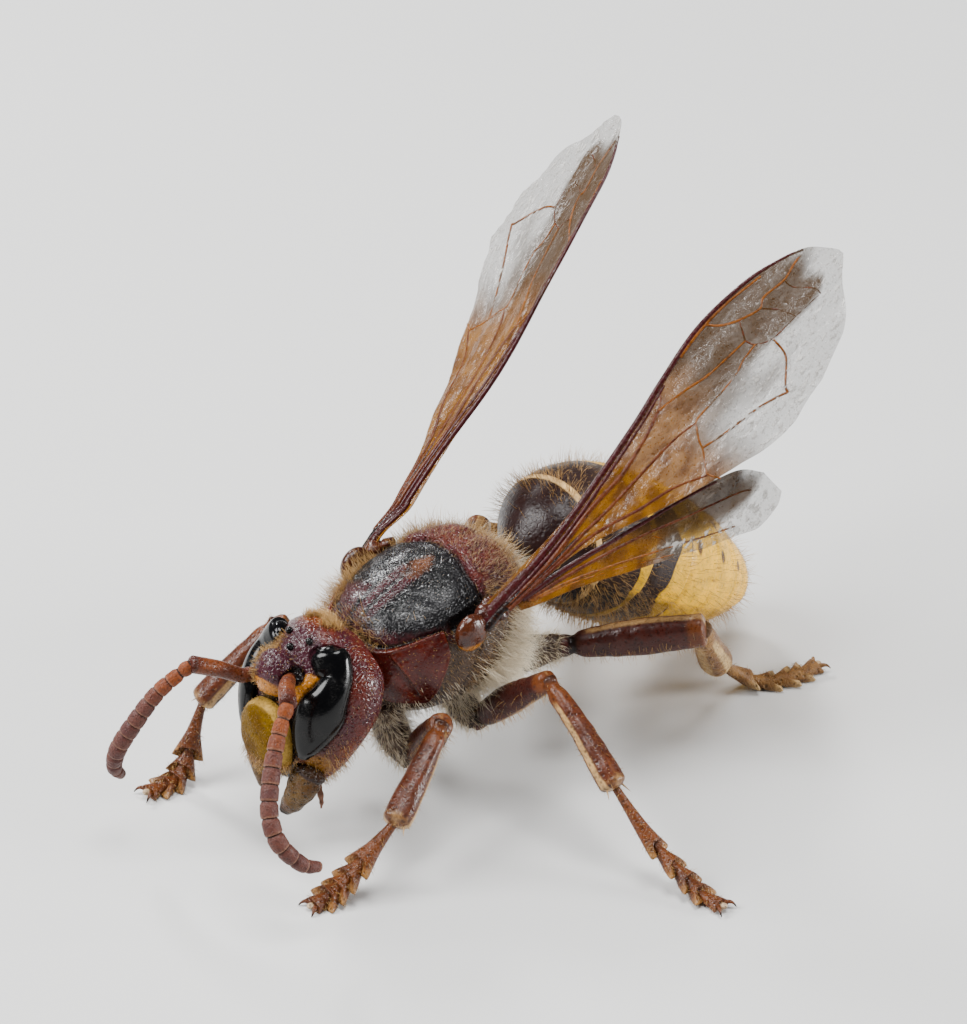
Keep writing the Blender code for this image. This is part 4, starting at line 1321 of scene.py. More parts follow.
    def jaw(self, side: Side) -> Skin:
        """Makes one jaw with a dark tip.

        Args:
            side: Which jaw it is.

        Returns:
            The surface.
        """
        rows = self.jaw_left if side is Side.LEFT else self.jaw_right
        spine = smooth(rows, self.JAW_ALONG) * (side.value, 1, 1, 1, 1)
        share = np.linspace(0, 1, self.JAW_ALONG)
        spine[:, 3] *= 1 + 0.05 * np.sin(share * 9) - 0.12 * bell(share - 0.1, 0.05)
        dark = np.clip(step(0.8, 0.97, share) + bell(share - 0.03, 0.05), 0, 1)
        skin = tube(spine, 48, (0, 1, 0.2), masks={"dark": dark})
        return skin.push(0.02 * waves(skin.grid, 0.3, 15))

    def build(self) -> tuple[Skin, Skin]:
        """Builds every piece of the head.

        Returns:
            The capsule and the shield, for the hair that grows on them.
        """
        capsule = self.capsule()
        out = capsule.normals()
        beads = []
        for place in self.small_eyes:
            nearest = np.argmin(np.linalg.norm(capsule.grid - place, axis=-1))
            spot = np.unravel_index(nearest, out.shape[:2])
            beads.append(egg(capsule.grid[spot] + out[spot] * 0.07, (0.15,) * 3, 32, 20).move(self.tilt))
        capsule.move(self.tilt)
        piece("head_capsule", [capsule], HEAD_SHELL, ("head",))
        for side in Side:
            word = side.word
            eye, jaw = self.eye(side).move(self.tilt), self.jaw(side).move(self.tilt)
            piece("eye_bean_" + word, [eye], EyeShell(), ("eye_" + word,))
            piece("jaw_" + word, [jaw], JAW_SHELL, ("mandible_" + word,))
        piece("small_eyes", beads, EyeShell(), ())
        shield = self.shield().move(self.tilt)
        piece("face_shield", [shield], SHIELD_SHELL, ("clypeus",))
        palps = []
        for sign in (1, -1):
            spine = smooth(self.palp, 40) * (sign, 1, 1, 1)
            spine[:, 3] *= 1 + 0.15 * np.cos(np.linspace(0, 8 * math.pi, 40))
            palps.append(tube(spine, 16, (0, 1, 0.2), masks={"pale": np.full(40, 0.8)}))
        piece("palps", palps, FEELER_SHELL, ())
        return capsule, shield


@dataclass
class Feeler:
    """One feeler: a stalk, a knuckle and eleven rings.

    Fields: the side, and rows of a point and a half width for the stalk and for the ringed part.
    """

    side: Side
    stalk: Rows
    lash: Rows
    rings: int = 11
    low_rings: int = 7
    per_ring: int = 24
    stalk_rows: int = 60
    ring_rows: int = 18

    def build(self) -> None:
        """Builds the stalk and the two ringed lengths."""
        word = self.side.word
        share = np.linspace(0, 1, self.stalk_rows)
        spine = even(smooth(self.stalk, self.stalk_rows), self.stalk_rows)
        spine[:, 3] *= 1 - 0.35 * bell(share - 0.06, 0.05)
        dark = np.clip(bell(share - 0.05, 0.06) + step(0.93, 1.0, share), 0, 1)
        stalk = tube(spine, 36, (0, 0, 1), masks={"dark": dark})
        piece("stalk_" + word, [stalk], SCAPE_SHELL, ("scape_" + word,))
        curve = even(smooth(self.lash, 200), (self.rings + 1) * self.per_ring)
        starts = range(0, len(curve), self.per_ring)
        joined = [self.ring(curve[at : at + self.per_ring + 1], ring) for ring, at in enumerate(starts)]
        low, high = joined[: self.low_rings], joined[self.low_rings :]
        piece("lash_low_" + word, low, FEELER_SHELL, ("flagellum_low_" + word,))
        piece("lash_tip_" + word, high, FEELER_SHELL, ("flagellum_tip_" + word,))

    def ring(self, part: Array, number: int) -> Skin:
        """Makes one ring, waisted at its root and rimmed at its end.

        Args:
            part: The points that it runs along.
            number: Its place from the root.

        Returns:
            The surface.
        """
        spine = even(part, self.ring_rows)
        share = np.linspace(0, 1, self.ring_rows)
        last = number == self.rings
        waist = 0.82 + 0.2 * step(0.0, 0.3, share) - (0.0 if last else 0.05 * step(0.85, 1.0, share))
        if number == 0:
            waist = 0.72 + 0.4 * np.sin(share * math.pi) ** 0.7
        spine[:, 3] *= waist
        masks = {
            "dark": bell(share, 0.08),
            "pale": 0.6 * step(0.8, 0.95, share),
            "warm": np.full(self.ring_rows, max(0.0, 1 - number / 4.5)),
        }
        return tube(spine, 32, (0.3, 0.9, 0.0), 0.5 if last else 0.06, masks=masks)


@dataclass
class Abdomen:
    """Seven rings of the abdomen along one drooping line.

    Fields: rows of the place along the body, height of the axis, half width and half height; where
    each ring ends as a share of the length; and the sizes of the steps between them.
    """

    rows: Rows = (
        (4.55, 0.85, 0.42, 0.38), (4.95, 0.95, 0.55, 0.5), (5.35, 1.0, 1.05, 1.0),
        (6.0, 1.05, 1.85, 1.75), (6.8, 1.05, 2.6, 2.4), (7.8, 0.9, 3.2, 2.88), (9.0, 0.45, 3.6, 3.15),
        (10.3, -0.3, 3.75, 3.25), (11.8, -1.25, 3.75, 3.2), (13.4, -2.25, 3.55, 3.0),
        (15.0, -3.25, 3.15, 2.6), (16.5, -4.15, 2.5, 2.0), (17.7, -4.85, 1.7, 1.3),
        (18.5, -5.3, 0.75, 0.55),
    )
    ends: tuple[float, ...] = (0.0, 0.16, 0.31, 0.47, 0.61, 0.74, 0.86, 1.0)
    start: float = 4.95
    around: int = 240
    per_ring: int = 56
    spine_rows: int = 261
    step_down: float = 0.12
    yellow_from: tuple[float, ...] = (2.0, 0.8, 0.6, 0.03, -0.05, -0.1, -0.3)
    seams: tuple[float, ...] = (0.0, 0.9, 0.9, 0.5, 0.4, 0.35, 0.3)

    def spine(self) -> tuple[Array, Array, Array]:
        """Draws the line that the rings hang on.

        Returns:
            The rows, how far along each is from the first ring's root, and the way ahead.
        """
        rows = smooth(self.rows, self.spine_rows)
        way = unit(np.gradient(rows[:, :2], axis=0))
        along = lengths(rows[:, :2])
        return rows, along - np.interp(self.start, rows[:, 0], along), way

    def ring(self, number: int) -> Skin:
        """Makes one ring with its front tucked in, its rear edge a lip and its belly plate set in.

        Args:
            number: Its place from the front, from 0 to 6.

        Returns:
            The surface.
        """
        rows, along, way = self.spine()
        total = along[-1]
        begin = self.ends[number] * total if number else along[0]
        end = self.ends[number + 1] * total
        share = np.linspace(-0.06 if number else 0.0, 1.0, self.per_ring)
        place = begin + (end - begin) * share
        y, z, half, tall = (np.interp(place, along, column)[:, None] for column in rows.T)
        dy, dz = (np.interp(place, along, column)[:, None] for column in way.T)
        cos, sin = circle(self.around)
        angle = np.arctan2(sin, cos)
        share = share[:, None]
        down = self.step_down * (0.5 if number > 3 else 1.0)
        tuck = -down * fade(-0.06, 0.22, share) if number else 0 * share
        lip = 0.03 * step(0.75, 1.0, share) - 0.05 * step(0.985, 1.0, share)
        if number == 6:
            lip = 0 * share
        under = step(-0.28, -0.36, sin)
        fold = -0.05 * under - 0.05 * bell(sin + 0.32, 0.02)
        grow = 1 + (tuck + lip + fold) / np.maximum(half, 0.5)
        places = (half * cos * grow, y - dz * tall * sin * grow, z + dy * tall * sin * grow)
        skin = Skin(np.stack(places, axis=-1))
        skin.push(0.012 * waves(skin.grid, 0.9, 20 + number))
        self.paint(skin, number, share, angle, under)
        return skin

    def paint(self, skin: Skin, number: int, share: Array, angle: Array, under: Array) -> None:
        """Names the bands, spots and edges of one ring.

        Args:
            skin: The ring.
            number: Its place from the front.
            share: How far along it each row lies, from 0 to 1.
            angle: How far round it each column lies.
            under: Which columns are its belly plate.
        """
        full = np.ones(skin.grid.shape[:2])
        turn = np.abs(angle - math.pi / 2)
        turn = np.minimum(turn, 2 * math.pi - turn)
        wobble = 0.05 * np.sin(turn * 5.0) + 0.03 * waves(skin.grid, 0.7, 31)
        if number == 2:
            wobble = wobble * 2.2 + 0.12 * bell(turn, 0.25)
        yellow = step(-0.02, 0.02, share - self.yellow_from[number] + wobble)
        skin.masks["yellow"] = yellow * (1 - 0.45 * under)
        gold = 0.35 * step(0.93, 0.99, share) if number else step(0.9, 0.95, share)
        skin.masks["gold"] = gold * full
        skin.masks["maroon"] = full * (number == 0)
        spots = 0 * full
        if 3 <= number <= 5:
            for out in (0.55, 1.05):
                spots = np.maximum(spots, bell((turn - out) / 0.09, 1.0) * bell((share - 0.3) / 0.09, 1.0))
        skin.masks["spot"] = np.clip(spots * 1.4, 0, 1)
        seam = bell(share, 0.02) * self.seams[number]
        skin.masks["dark"] = np.clip(seam + 0.5 * under * (number < 3), 0, 1) * full

    def build(self) -> list[Skin]:
        """Builds the seven rings.

        Returns:
            Their surfaces, for the hair that grows on them.
        """
        skins = []
        slots = ("plate_maroon", "gaster_brown") + ("band_yellow",) * 5
        for number, slot in enumerate(slots):
            skins.append(self.ring(number))
            name = "belly_ring_%d" % (number + 1)
            piece(name, skins[-1:], BELLY_SHELL, ("gaster_%d" % (number + 1),))
        return skins


@dataclass
class Leg:
    """One leg: hip, thigh, shank and toes with claws.

    Fields: which leg it is; points from the root of the hip to the tip of the toes, as on the left
    side; and for each part its half width and half height at its own points. Each part begins at
    the point where the one before it ends.
    """

    pair: Pair
    side: Side
    points: Rows
    hip: Rows
    thigh: Rows
    shank: Rows
    toes: Rows
    ends: tuple[float, ...] = (0.0, 0.44, 0.6, 0.73, 0.84, 1.0)
    rings: int = 60
    toe_rows: int = 120

    WAY_UP = (0.2, 0.1, 1.0)
    SIDES = 40
    TOE_RINGS, TOE_SIDES = 26, 32

    @property
    def word(self) -> str:
        """The leg's words in its nodes' names."""
        return self.pair.value + "_" + self.side.word

    def rows(self) -> list[Array]:
        """Sets out hip, thigh, shank and toes.

        Returns:
            For each, rows of a point, a half width and a half height, at even lengths.
        """
        parts, start = [], 0
        for sizes in (self.hip, self.thigh, self.shank, self.toes):
            place = np.array(self.points[start : start + len(sizes)]) * (self.side.value, 1, 1)
            count = self.toe_rows if sizes is self.toes else self.rings
            parts.append(even(smooth(np.hstack([place, sizes]), 60), count))
            start += len(sizes) - 1
        return parts

    def part_skins(self, hip: Array, thigh: Array, shank: Array) -> dict[str, Skin]:
        """Makes hip, thigh and shank.

        Args:
            hip: The hip's rows.
            thigh: The thigh's rows.
            shank: The shank's rows.

        Returns:
            The surfaces, by the words in their nodes' names.
        """
        share = np.linspace(0, 1, self.rings)
        turn = np.linspace(0, 2 * math.pi, self.SIDES, endpoint=False)
        ring, flank = np.sin(turn), np.abs(np.cos(turn))
        thigh[:, 3:] *= (1 - 0.3 * bell(share - 0.1, 0.035) + 0.06 * bell(share - 0.5, 0.3))[:, None]
        shank[:, 3:] *= (0.9 - 0.2 * bell(share - 0.07, 0.05) + 0.2 * step(0.35, 0.98, share))[:, None]
        strong = 1.1 if self.pair is Pair.HIND else 0.6
        # Cream lines along the top and bottom of thigh and shank, and on the shank's flanks, are partly the
        # legs' own pale edges and partly painted rim highlight.
        edges = (bell(ring - 1, 0.05) * 0.5 + bell(ring + 1, 0.09)) * strong
        edges = np.clip(edges * step(0.12, 0.25, share)[:, None], 0, 1)
        end = np.clip(0.9 * bell(flank - 1, 0.05) + 0.5 * edges, 0, 1) * step(0.12, 0.3, share)[:, None]
        end = np.clip(end + 0.3 * step(0.93, 1.0, share)[:, None], 0, 1)
        on_hip = {"dark": 0.4 * bell(share - 1, 0.08)}
        on_thigh = {
            "warm": np.clip(step(0.86, 0.97, share) + 0.25 * (self.pair is Pair.FORE), 0, 1),
            "edge": edges,
            "dark": bell(share - 0.1, 0.03),
        }
        on_shank = {
            "warm": 0.45 + 0.55 * fade(0.1, 0.3, share),
            "edge": end,
            "dark": 0.6 * bell(share, 0.05),
        }
        skins = {
            "coxa": tube(hip, self.SIDES, (0, 1, 0.2), masks=on_hip),
            "femur": tube(thigh, self.SIDES, self.WAY_UP, power=2.3, masks=on_thigh),
            "tibia": tube(shank, self.SIDES, self.WAY_UP, 0.5, 2.4, on_shank),
        }
        for number, skin in enumerate(skins.values()):
            skin.push(0.012 * waves(skin.grid, 0.4, 40 + number))
        return skins

    def toe(self, spine: Array, last: bool) -> Skin:
        """Makes one toe joint: a funnel whose end runs out in two pointed lobes.

        Args:
            spine: Its rows.
            last: Whether it is the one that carries the claws.

        Returns:
            The surface.
        """
        rows = even(spine, self.TOE_RINGS)
        share = np.linspace(0, 1, self.TOE_RINGS)
        flare = 0.5 + 0.68 * share**1.2 if last else 0.55 + 0.68 * share**1.5
        rows[:, 3:] *= flare[:, None]
        skin = tube(rows, self.TOE_SIDES, self.WAY_UP, 0.1, 2.3)
        ahead = unit(rows[-1, :3] - rows[-4, :3])
        cos, _ = circle(self.TOE_SIDES, 2.3)
        grown = np.pad(share, len(END_RINGS), mode="edge")
        lobe = (0.14 if last else 0.5) * np.abs(cos) ** 9
        push = step(0.7, 1.0, grown)[:, None] * lobe[None]
        aside = unit(np.cross(ahead, self.WAY_UP))
        skin.grid = skin.grid + push[..., None] * (ahead + aside * (0.5 * np.sign(cos))[:, None])
        skin.masks["edge"] = np.clip(step(0.75, 1.0, grown)[:, None] * (0.15 + lobe * 1.1)[None], 0, 1)
        skin.masks["dark"] = np.broadcast_to(0.7 * bell(grown, 0.12)[:, None], skin.grid.shape[:2])
        return skin

    def claws(self, toes: Array) -> list[Skin]:
        """Makes two hooked claws and the pale pad between them.

        Args:
            toes: The rows of the toes.

        Returns:
            The three surfaces.
        """
        end = toes[-1, :3]
        ahead = unit(end - toes[-6, :3])
        aside = unit(np.cross(ahead, (0, 0, 1)))
        made = []
        for way in (1, -1):
            bend = np.linspace(0, 1, 24)[:, None]
            path = end + ahead * (0.5 * bend) + aside * way * (0.1 + 0.5 * bend - 0.12 * bend**3)
            path = path + np.array((0, 0, 1)) * (0.22 * np.sin(bend * 2.4) - 0.16 * bend**2)
            wide = 0.13 * (1 - 0.85 * bend[:, 0] ** 1.2)
            dark = {"dark": step(0.6, 1.0, bend[:, 0])}
            made.append(tube(np.column_stack([path, wide]), 16, (0.1, 0.2, 1.0), masks=dark))
        pad = egg(end + ahead * 0.2 + np.array((0, 0, 0.1)), (0.17, 0.17, 0.12), 24, 16)
        pad.masks["pad"] = np.ones(pad.grid.shape[:2])
        return made + [pad]

    def spurs(self, shank: Array) -> list[Skin]:
        """Makes the tapered spurs at the end of the shank.

        Args:
            shank: The shank's rows.

        Returns:
            One surface on a fore leg and two on the others.
        """
        end = shank[-1, :3]
        ahead = unit(end - shank[-4, :3])
        aside = unit(np.cross(ahead, (0, 0, 1))) * self.side.value
        share = np.linspace(0, 1, 20)[:, None]
        made = []
        for way in (-1,) if self.pair is Pair.FORE else (1, -1):
            root = end - ahead * 0.15 + aside * way * 0.25
            path = root + (ahead * 0.75 + aside * way * 0.3) * share
            spine = np.hstack([path, 0.07 * (1 - 0.9 * share)])
            made.append(tube(spine, 12, (0.1, 0.2, 1.0), masks={"edge": np.full(20, 0.8)}))
        return made

    def build(self) -> dict[str, Skin]:
        """Builds the leg's four pieces.

        Returns:
            The skins that hair grows on, by node.
        """
        word, pale = self.word, self.pair is Pair.HIND
        hip, thigh, shank, toes = self.rows()
        spurs = self.spurs(shank)
        skins = self.part_skins(hip, thigh, shank)
        tibia = [skins["tibia"], *spurs]
        piece("hip_" + word, [skins["coxa"]], HIP_SHELL, ("coxa_" + word,))
        piece("thigh_" + word, [skins["femur"]], LIMB_SHELL, ("femur_" + word,))
        shell = PALE_LIMB_SHELL if pale else LIMB_SHELL
        piece("shank_" + word, tibia, shell, ("tibia_" + word,))
        made = []
        places = [int(end * (self.toe_rows - 1)) for end in self.ends]
        for low, high in zip(places[:-1], places[1:]):
            made.append(self.toe(toes[low : high + 1], high == places[-1]))
        whole = made + self.claws(toes)
        for skin in whole:
            skin.grid[..., 2] = np.maximum(skin.grid[..., 2], LOWEST)
        shell = PALE_LIMB_SHELL if pale else TOE_SHELL
        piece("toes_" + word, whole, shell, ("tarsus_" + word,))
        return skins | {"toe_%d" % number: skin for number, skin in enumerate(made)}


MID_SIZES = (
    ((0.8, 0.8), (0.7, 0.7), (0.45, 0.45)),
    ((0.4, 0.4), (0.55, 0.6), (0.45, 0.45)),
    ((0.4, 0.4), (0.48, 0.48), (0.5, 0.48)),
    ((0.28, 0.26), (0.3, 0.28), (0.34, 0.3), (0.36, 0.3), (0.33, 0.26)),
)
LEGS = (
    Leg(
        Pair.FORE, Side.LEFT,
        (
            (1.1, -3.0, -2.2), (1.5, -2.7, -3.7), (2.1, -2.3, -4.75), (2.9, -2.35, -3.5),
            (4.15, -2.65, -1.85), (4.8, -4.3, -2.95), (5.5, -6.2, -4.15), (5.3, -7.5, -5.3),
            (5.05, -8.7, -6.35), (4.9, -9.4, -6.8), (4.82, -9.9, -6.95),
        ),
        ((0.75, 0.75), (0.7, 0.7), (0.45, 0.45)),
        ((0.4, 0.4), (0.6, 0.65), (0.5, 0.5)),
        ((0.4, 0.4), (0.55, 0.55), (0.55, 0.5)),
        ((0.3, 0.28), (0.36, 0.32), (0.4, 0.34), (0.42, 0.36), (0.35, 0.28)),
    ),
    Leg(
        Pair.FORE, Side.RIGHT,
        (
            (1.1, -3.0, -2.2), (1.5, -2.9, -3.4), (2.1, -2.8, -4.4), (2.95, -3.4, -2.5),
            (4.0, -4.3, -0.25), (4.7, -5.6, -1.8), (5.4, -6.96, -3.43), (5.4, -7.5, -4.8),
            (5.35, -8.0, -6.05), (5.35, -8.6, -6.72), (5.5, -9.75, -6.88),
        ),
        ((0.75, 0.75), (0.7, 0.7), (0.45, 0.45)),
        ((0.4, 0.4), (0.6, 0.65), (0.5, 0.5)),
        ((0.4, 0.4), (0.5, 0.5), (0.5, 0.45)),
        ((0.28, 0.26), (0.32, 0.3), (0.36, 0.3), (0.36, 0.3), (0.33, 0.26)),
    ),
    Leg(
        Pair.MID, Side.LEFT,
        (
            (1.4, 0.6, -2.5), (1.8, 0.8, -3.5), (2.4, 1.0, -4.1), (3.8, 1.2, -2.6), (6.0, 1.43, -0.6),
            (8.0, 1.35, -1.85), (10.1, 1.15, -3.3), (12.0, 1.5, -5.2), (13.5, 1.88, -6.3),
            (14.4, 2.0, -6.75), (15.35, 2.12, -6.9),
        ),
        *MID_SIZES,
    ),
    Leg(
        Pair.MID, Side.RIGHT,
        (
            (1.4, 0.6, -2.5), (1.8, 0.8, -3.5), (2.4, 1.0, -4.1), (3.6, 1.3, -2.4), (5.2, 1.6, -0.4),
            (6.5, 2.1, -2.2), (7.6, 2.6, -4.2), (8.0, 3.2, -5.8), (8.35, 4.2, -6.7), (8.6, 5.6, -6.78),
            (8.9, 7.0, -6.88),
        ),
        *MID_SIZES,
    ),
    Leg(
        Pair.HIND, Side.LEFT,
        (
            (1.3, 3.0, -2.0), (1.9, 4.1, -2.3), (2.7, 5.3, -2.1), (4.8, 7.4, -1.55), (7.0, 9.25, -0.9),
            (6.0, 10.8, -2.8), (4.95, 12.5, -4.7), (4.7, 14.0, -6.0), (5.2, 15.2, -6.72),
            (5.7, 16.4, -6.78), (5.75, 17.9, -6.85),
        ),
        ((0.9, 0.9), (0.8, 0.8), (0.5, 0.5)),
        ((0.45, 0.45), (0.6, 0.72), (0.6, 0.7)),
        ((0.45, 0.5), (0.6, 0.6), (0.6, 0.6)),
        ((0.28, 0.28), (0.3, 0.28), (0.33, 0.3), (0.34, 0.3), (0.33, 0.26)),
    ),
    Leg(
        Pair.HIND, Side.RIGHT,
        (
            (1.3, 3.0, -2.0), (1.9, 4.1, -2.3), (2.7, 5.3, -2.1), (4.6, 7.3, -2.1), (6.4, 9.3, -2.0),
            (6.2, 11.3, -3.5), (5.8, 13.4, -5.0), (5.8, 14.9, -6.2), (5.9, 16.1, -6.74),
            (6.1, 17.3, -6.78), (6.2, 18.6, -6.85),
        ),
        ((0.9, 0.9), (0.8, 0.8), (0.5, 0.5)),
        ((0.45, 0.45), (0.6, 0.7), (0.55, 0.6)),
        ((0.45, 0.45), (0.6, 0.6), (0.6, 0.6)),
        ((0.28, 0.28), (0.3, 0.28), (0.33, 0.3), (0.34, 0.3), (0.33, 0.26)),
    ),
)


@dataclass(frozen=True)
class Vein:
    """One vein: its way over the wing, its half widths at root and end, and its tint."""

    path: Rows
    wide: tuple[float, float]
    tint: str = ""


FORE_VEINS = (
    Vein(
        ((0.3, 0.12), (4.4, -0.2), (9.2, -1.05), (11.6, -1.6),
         (14.3, -2.1), (17.0, -2.05), (18.7, -1.66), (19.6, -1.3)),
        (0.17, 0.05), "leading",
    ),
    Vein(((-0.9, 0.15), (-0.1, 0.08), (0.8, 0.02), (2.2, -0.05)), (0.32, 0.16), "leading"),
    Vein(((-0.6, 0.4), (0.3, 0.35), (1.6, 0.38)), (0.24, 0.1), "black"),
    Vein(((0.6, 0.3), (4.4, 0.05), (9.2, -0.82), (11.6, -1.42)), (0.12, 0.06), "leading"),
    Vein(((12.9, -1.78), (14.2, -1.96), (15.8, -1.99), (17.6, -1.78)), (0.09, 0.05), "orange"),
    Vein(
        ((0.6, 0.42), (3.0, 0.38), (5.8, 0.03),
         (7.68, -0.06), (9.33, -0.4), (10.69, -0.84)),
        (0.13, 0.07),
    ),
    Vein(
        ((0.6, 0.5), (3.0, 0.55), (4.96, 0.5), (6.28, 0.53),
         (8.86, 0.45), (10.35, 0.45), (11.34, 0.6)),
        (0.1, 0.05),
    ),
    Vein(((0.5, 0.44), (3.0, 0.5), (4.9, 0.44)), (0.12, 0.05), "black"),
    Vein(((10.69, -0.84), (11.1, -1.15), (11.38, -1.48)), (0.05, 0.04)),
    Vein(
        ((10.69, -0.84), (12.09, -0.64), (13.08, -0.44),
         (14.23, -0.39), (15.21, -0.36)),
        (0.06, 0.05), "orange",
    ),
    Vein(((15.21, -0.36), (15.39, 0.04), (16.03, 0.39), (17.4, 0.42), (18.66, 0.47)), (0.04, 0.02)),
    Vein(
        ((14.58, -1.98), (15.0, -1.51), (15.65, -1.12), (16.57, -0.85),
         (17.04, -1.06), (18.12, -0.98), (18.91, -1.15), (19.39, -1.22)),
        (0.06, 0.05), "orange",
    ),
    Vein(((15.65, -1.12), (15.42, -0.71), (15.23, -0.38)), (0.04, 0.04)),
    Vein(((16.57, -0.85), (17.04, -0.38), (17.27, 0.07), (17.38, 0.5)), (0.04, 0.03)),
    Vein(((18.12, -0.98), (18.2, -0.53), (18.73, 0.13), (18.76, 0.48)), (0.035, 0.03)),
    Vein(
        ((15.39, 0.04), (14.56, 0.16), (13.95, 0.36),
         (12.95, 0.46), (11.69, 0.5), (11.34, 0.6)),
        (0.04, 0.05), "orange",
    ),
    Vein(
        ((16.03, 0.39), (15.98, 1.02), (15.76, 1.41),
         (14.96, 2.13), (14.85, 2.38)),
        (0.05, 0.05), "orange",
    ),
    Vein(
        ((11.34, 0.6), (10.93, 1.16), (10.74, 1.57),
         (10.21, 2.26), (10.16, 2.46), (10.39, 2.91)),
        (0.05, 0.04), "orange",
    ),
    Vein(((10.76, 1.49), (12.0, 1.75), (13.39, 1.95), (14.33, 2.2), (14.85, 2.38)), (0.05, 0.05), "orange"),
    Vein(((0.6, 0.55), (3.5, 0.68), (5.2, 0.85), (7.15, 1.42), (8.76, 1.79), (10.09, 2.43)), (0.1, 0.05)),
)
HIND_VEINS = (
    Vein(
        ((1.3, 0.62), (3.2, 0.97), (5.2, 1.46),
         (7.2, 2.0), (9.0, 2.46), (10.3, 2.86)),
        (0.15, 0.05), "leading",
    ),
    Vein(((1.4, 0.8), (4.0, 1.45), (6.5, 2.25), (8.8, 3.15), (10.6, 3.8), (11.1, 4.1)), (0.09, 0.03)),
    Vein(((1.4, 0.85), (3.5, 1.62), (5.8, 2.75), (8.2, 4.0), (9.6, 4.7)), (0.07, 0.03), "orange"),
    Vein(((6.9, 2.62), (7.1, 3.0), (7.0, 3.35)), (0.04, 0.03), "orange"),
    Vein(((1.5, 0.95), (3.4, 1.72), (5.4, 2.8), (7.0, 3.75)), (0.05, 0.025), "orange"),
)


@dataclass
class Wing:
    """One wing: a film between its edges, with its veins.

    Fields: the node and side, rows of reach, front edge and rear edge, the veins, where the tip
    is, how the length is stretched, how far the rear edge is let down, how the film is curled,
    notched, bowed and twisted, where the root is, and which way the film faces.
    """

    node: str
    side: Side
    stations: Rows
    veins: tuple[Vein, ...]
    tip: Colour
    stretch: float
    droop: float = 0.0
    curl: float = 0.12
    scallop: float = 0.02
    bow: float = 0.0
    twist: float = 0.0
    tip_twist: float = 0.0
    root: Colour = (3.45, 0.49, 1.9)
    face: Colour = (0.4636, -0.5868, 0.6639)

    HALF_THICK = 0.02
    SIDES = 90
    ROWS_A_MM = 7.5
    VEIN_ROWS = 14

    def plane(self) -> tuple[Array, Array, Array, Array]:
        """Finds how the wing lies.

        Returns:
            The ways to the tip, across it, to the let-down rear edge, and out of the film.
        """
        span = unit(np.array(self.tip) - np.array(self.root))
        up = np.array(self.face)
        up = unit(up - span * (up @ span))
        chord = np.cross(span, up)
        rear = chord * math.cos(self.droop) - up * math.sin(self.droop)
        return span, chord, rear, np.cross(rear, span)

    def at(self, reach: Array, across: Array, lift: Array | float = 0.0) -> Array:
        """Places points of the film.

        Args:
            reach: How far from the root they are.
            across: How far behind the wing's line they are.
            lift: How far above the film they are.

        Returns:
            The points on the wing's own side.
        """
        span, chord, rear, up = self.plane()
        hinge = self.stations[0][1]
        wave = self.curl * np.sin(reach * 0.55 + 0.8) * np.clip(across - hinge, 0, 3) * 0.25
        wave = wave + 0.05 * np.sin(across * 4.2 + reach * 0.35) * step(1.0, 6.0, reach)
        fold = self.twist * np.clip(across - hinge, -1, 3) * step(0.3, 2.5, reach) * fade(6.0, 13.0, reach)
        arch = self.bow * step(0.2, 2.2, reach) * fade(7.0, 17.0, reach)
        lobe = self.tip_twist * np.clip(across - hinge, 0, 3) * step(10.0, 17.0, reach)
        height = wave + fold + lobe - arch + lift
        points = (
            np.array(self.root)
            + span * (reach * self.stretch)[..., None]
            + chord * hinge
            + rear * (across - hinge)[..., None]
            + up * height[..., None]
        )
        return points * (self.side.value, 1, 1)

    def film(self) -> Skin:
        """Makes the film as a thin closed blade.

        Returns:
            The surface.
        """
        end = self.stations[-1][0]
        rows = even_by_first(smooth(self.stations, 240), int(self.ROWS_A_MM * end))
        reach = rows[:, :1]
        notch = 1 - self.scallop * np.abs(np.sin(reach * 1.55)) * step(end * 0.5, end * 0.7, reach)
        share = np.linspace(0, 1, self.SIDES)[None]
        across = rows[:, 1:2] + (rows[:, 2:3] * notch - rows[:, 1:2]) * share
        reach = np.broadcast_to(reach, across.shape)
        flat = np.stack([reach * 0.8, across * 2.2, 0 * reach], axis=-1)
        patch = 0.1 * waves(flat, 1.6, 71)
        rear = step(0.42, 0.75, share + patch)
        clear = rear * step(end * 0.48, end * 0.64, reach)
        clear = np.clip(clear + step(end * 0.9, end * 0.98, reach + 4 * patch), 0, 1)
        smoke = step(end * 0.5, end * 0.66, reach + 3 * patch)
        crinkle = (0.015 + 0.035 * clear) * (1 - np.abs(waves(flat, 0.5, 72))) * step(1.0, 4.0, reach)
        upper = self.at(reach, across, crinkle + self.HALF_THICK)
        lower = self.at(reach, across, crinkle - self.HALF_THICK)
        grid, clear, smoke = (
            np.concatenate([top, low[:, ::-1]], axis=1)
            for top, low in ((upper, lower), (clear, clear), (smoke, smoke))
        )
        return Skin(grid, masks={"clear": clear, "smoke": smoke})

    def vein(self, vein: Vein) -> Skin:
        """Makes one vein as a thin tube on the film.

        Args:
            vein: The vein.

        Returns:
            The surface.
        """
        count = self.VEIN_ROWS * len(vein.path)
        path = smooth(vein.path, count)
        points = self.at(path[:, 0], path[:, 1])
        wide = np.linspace(*vein.wide, count)
        masks = {vein.tint: np.ones(count)} if vein.tint else {}
        up = self.plane()[-1] * (self.side.value, 1, 1)
        return tube(np.column_stack([points, wide, wide * 0.8]), 8, tuple(up), masks=masks)

    def build(self) -> None:
        """Builds the film and the veins."""
        name = self.node + "_" + self.side.word
        piece("film_" + name, [self.film()], Membrane(), (name,))
        piece("veins_" + name, [self.vein(vein) for vein in self.veins], VEIN_SHELL, ())


def even_by_first(rows: Array, count: int) -> Array:
    """Rows resampled at even steps of their first column."""
    wanted = np.linspace(rows[0, 0], rows[-1, 0], count)
    return np.stack([np.interp(wanted, rows[:, 0], column) for column in rows.T], axis=1)


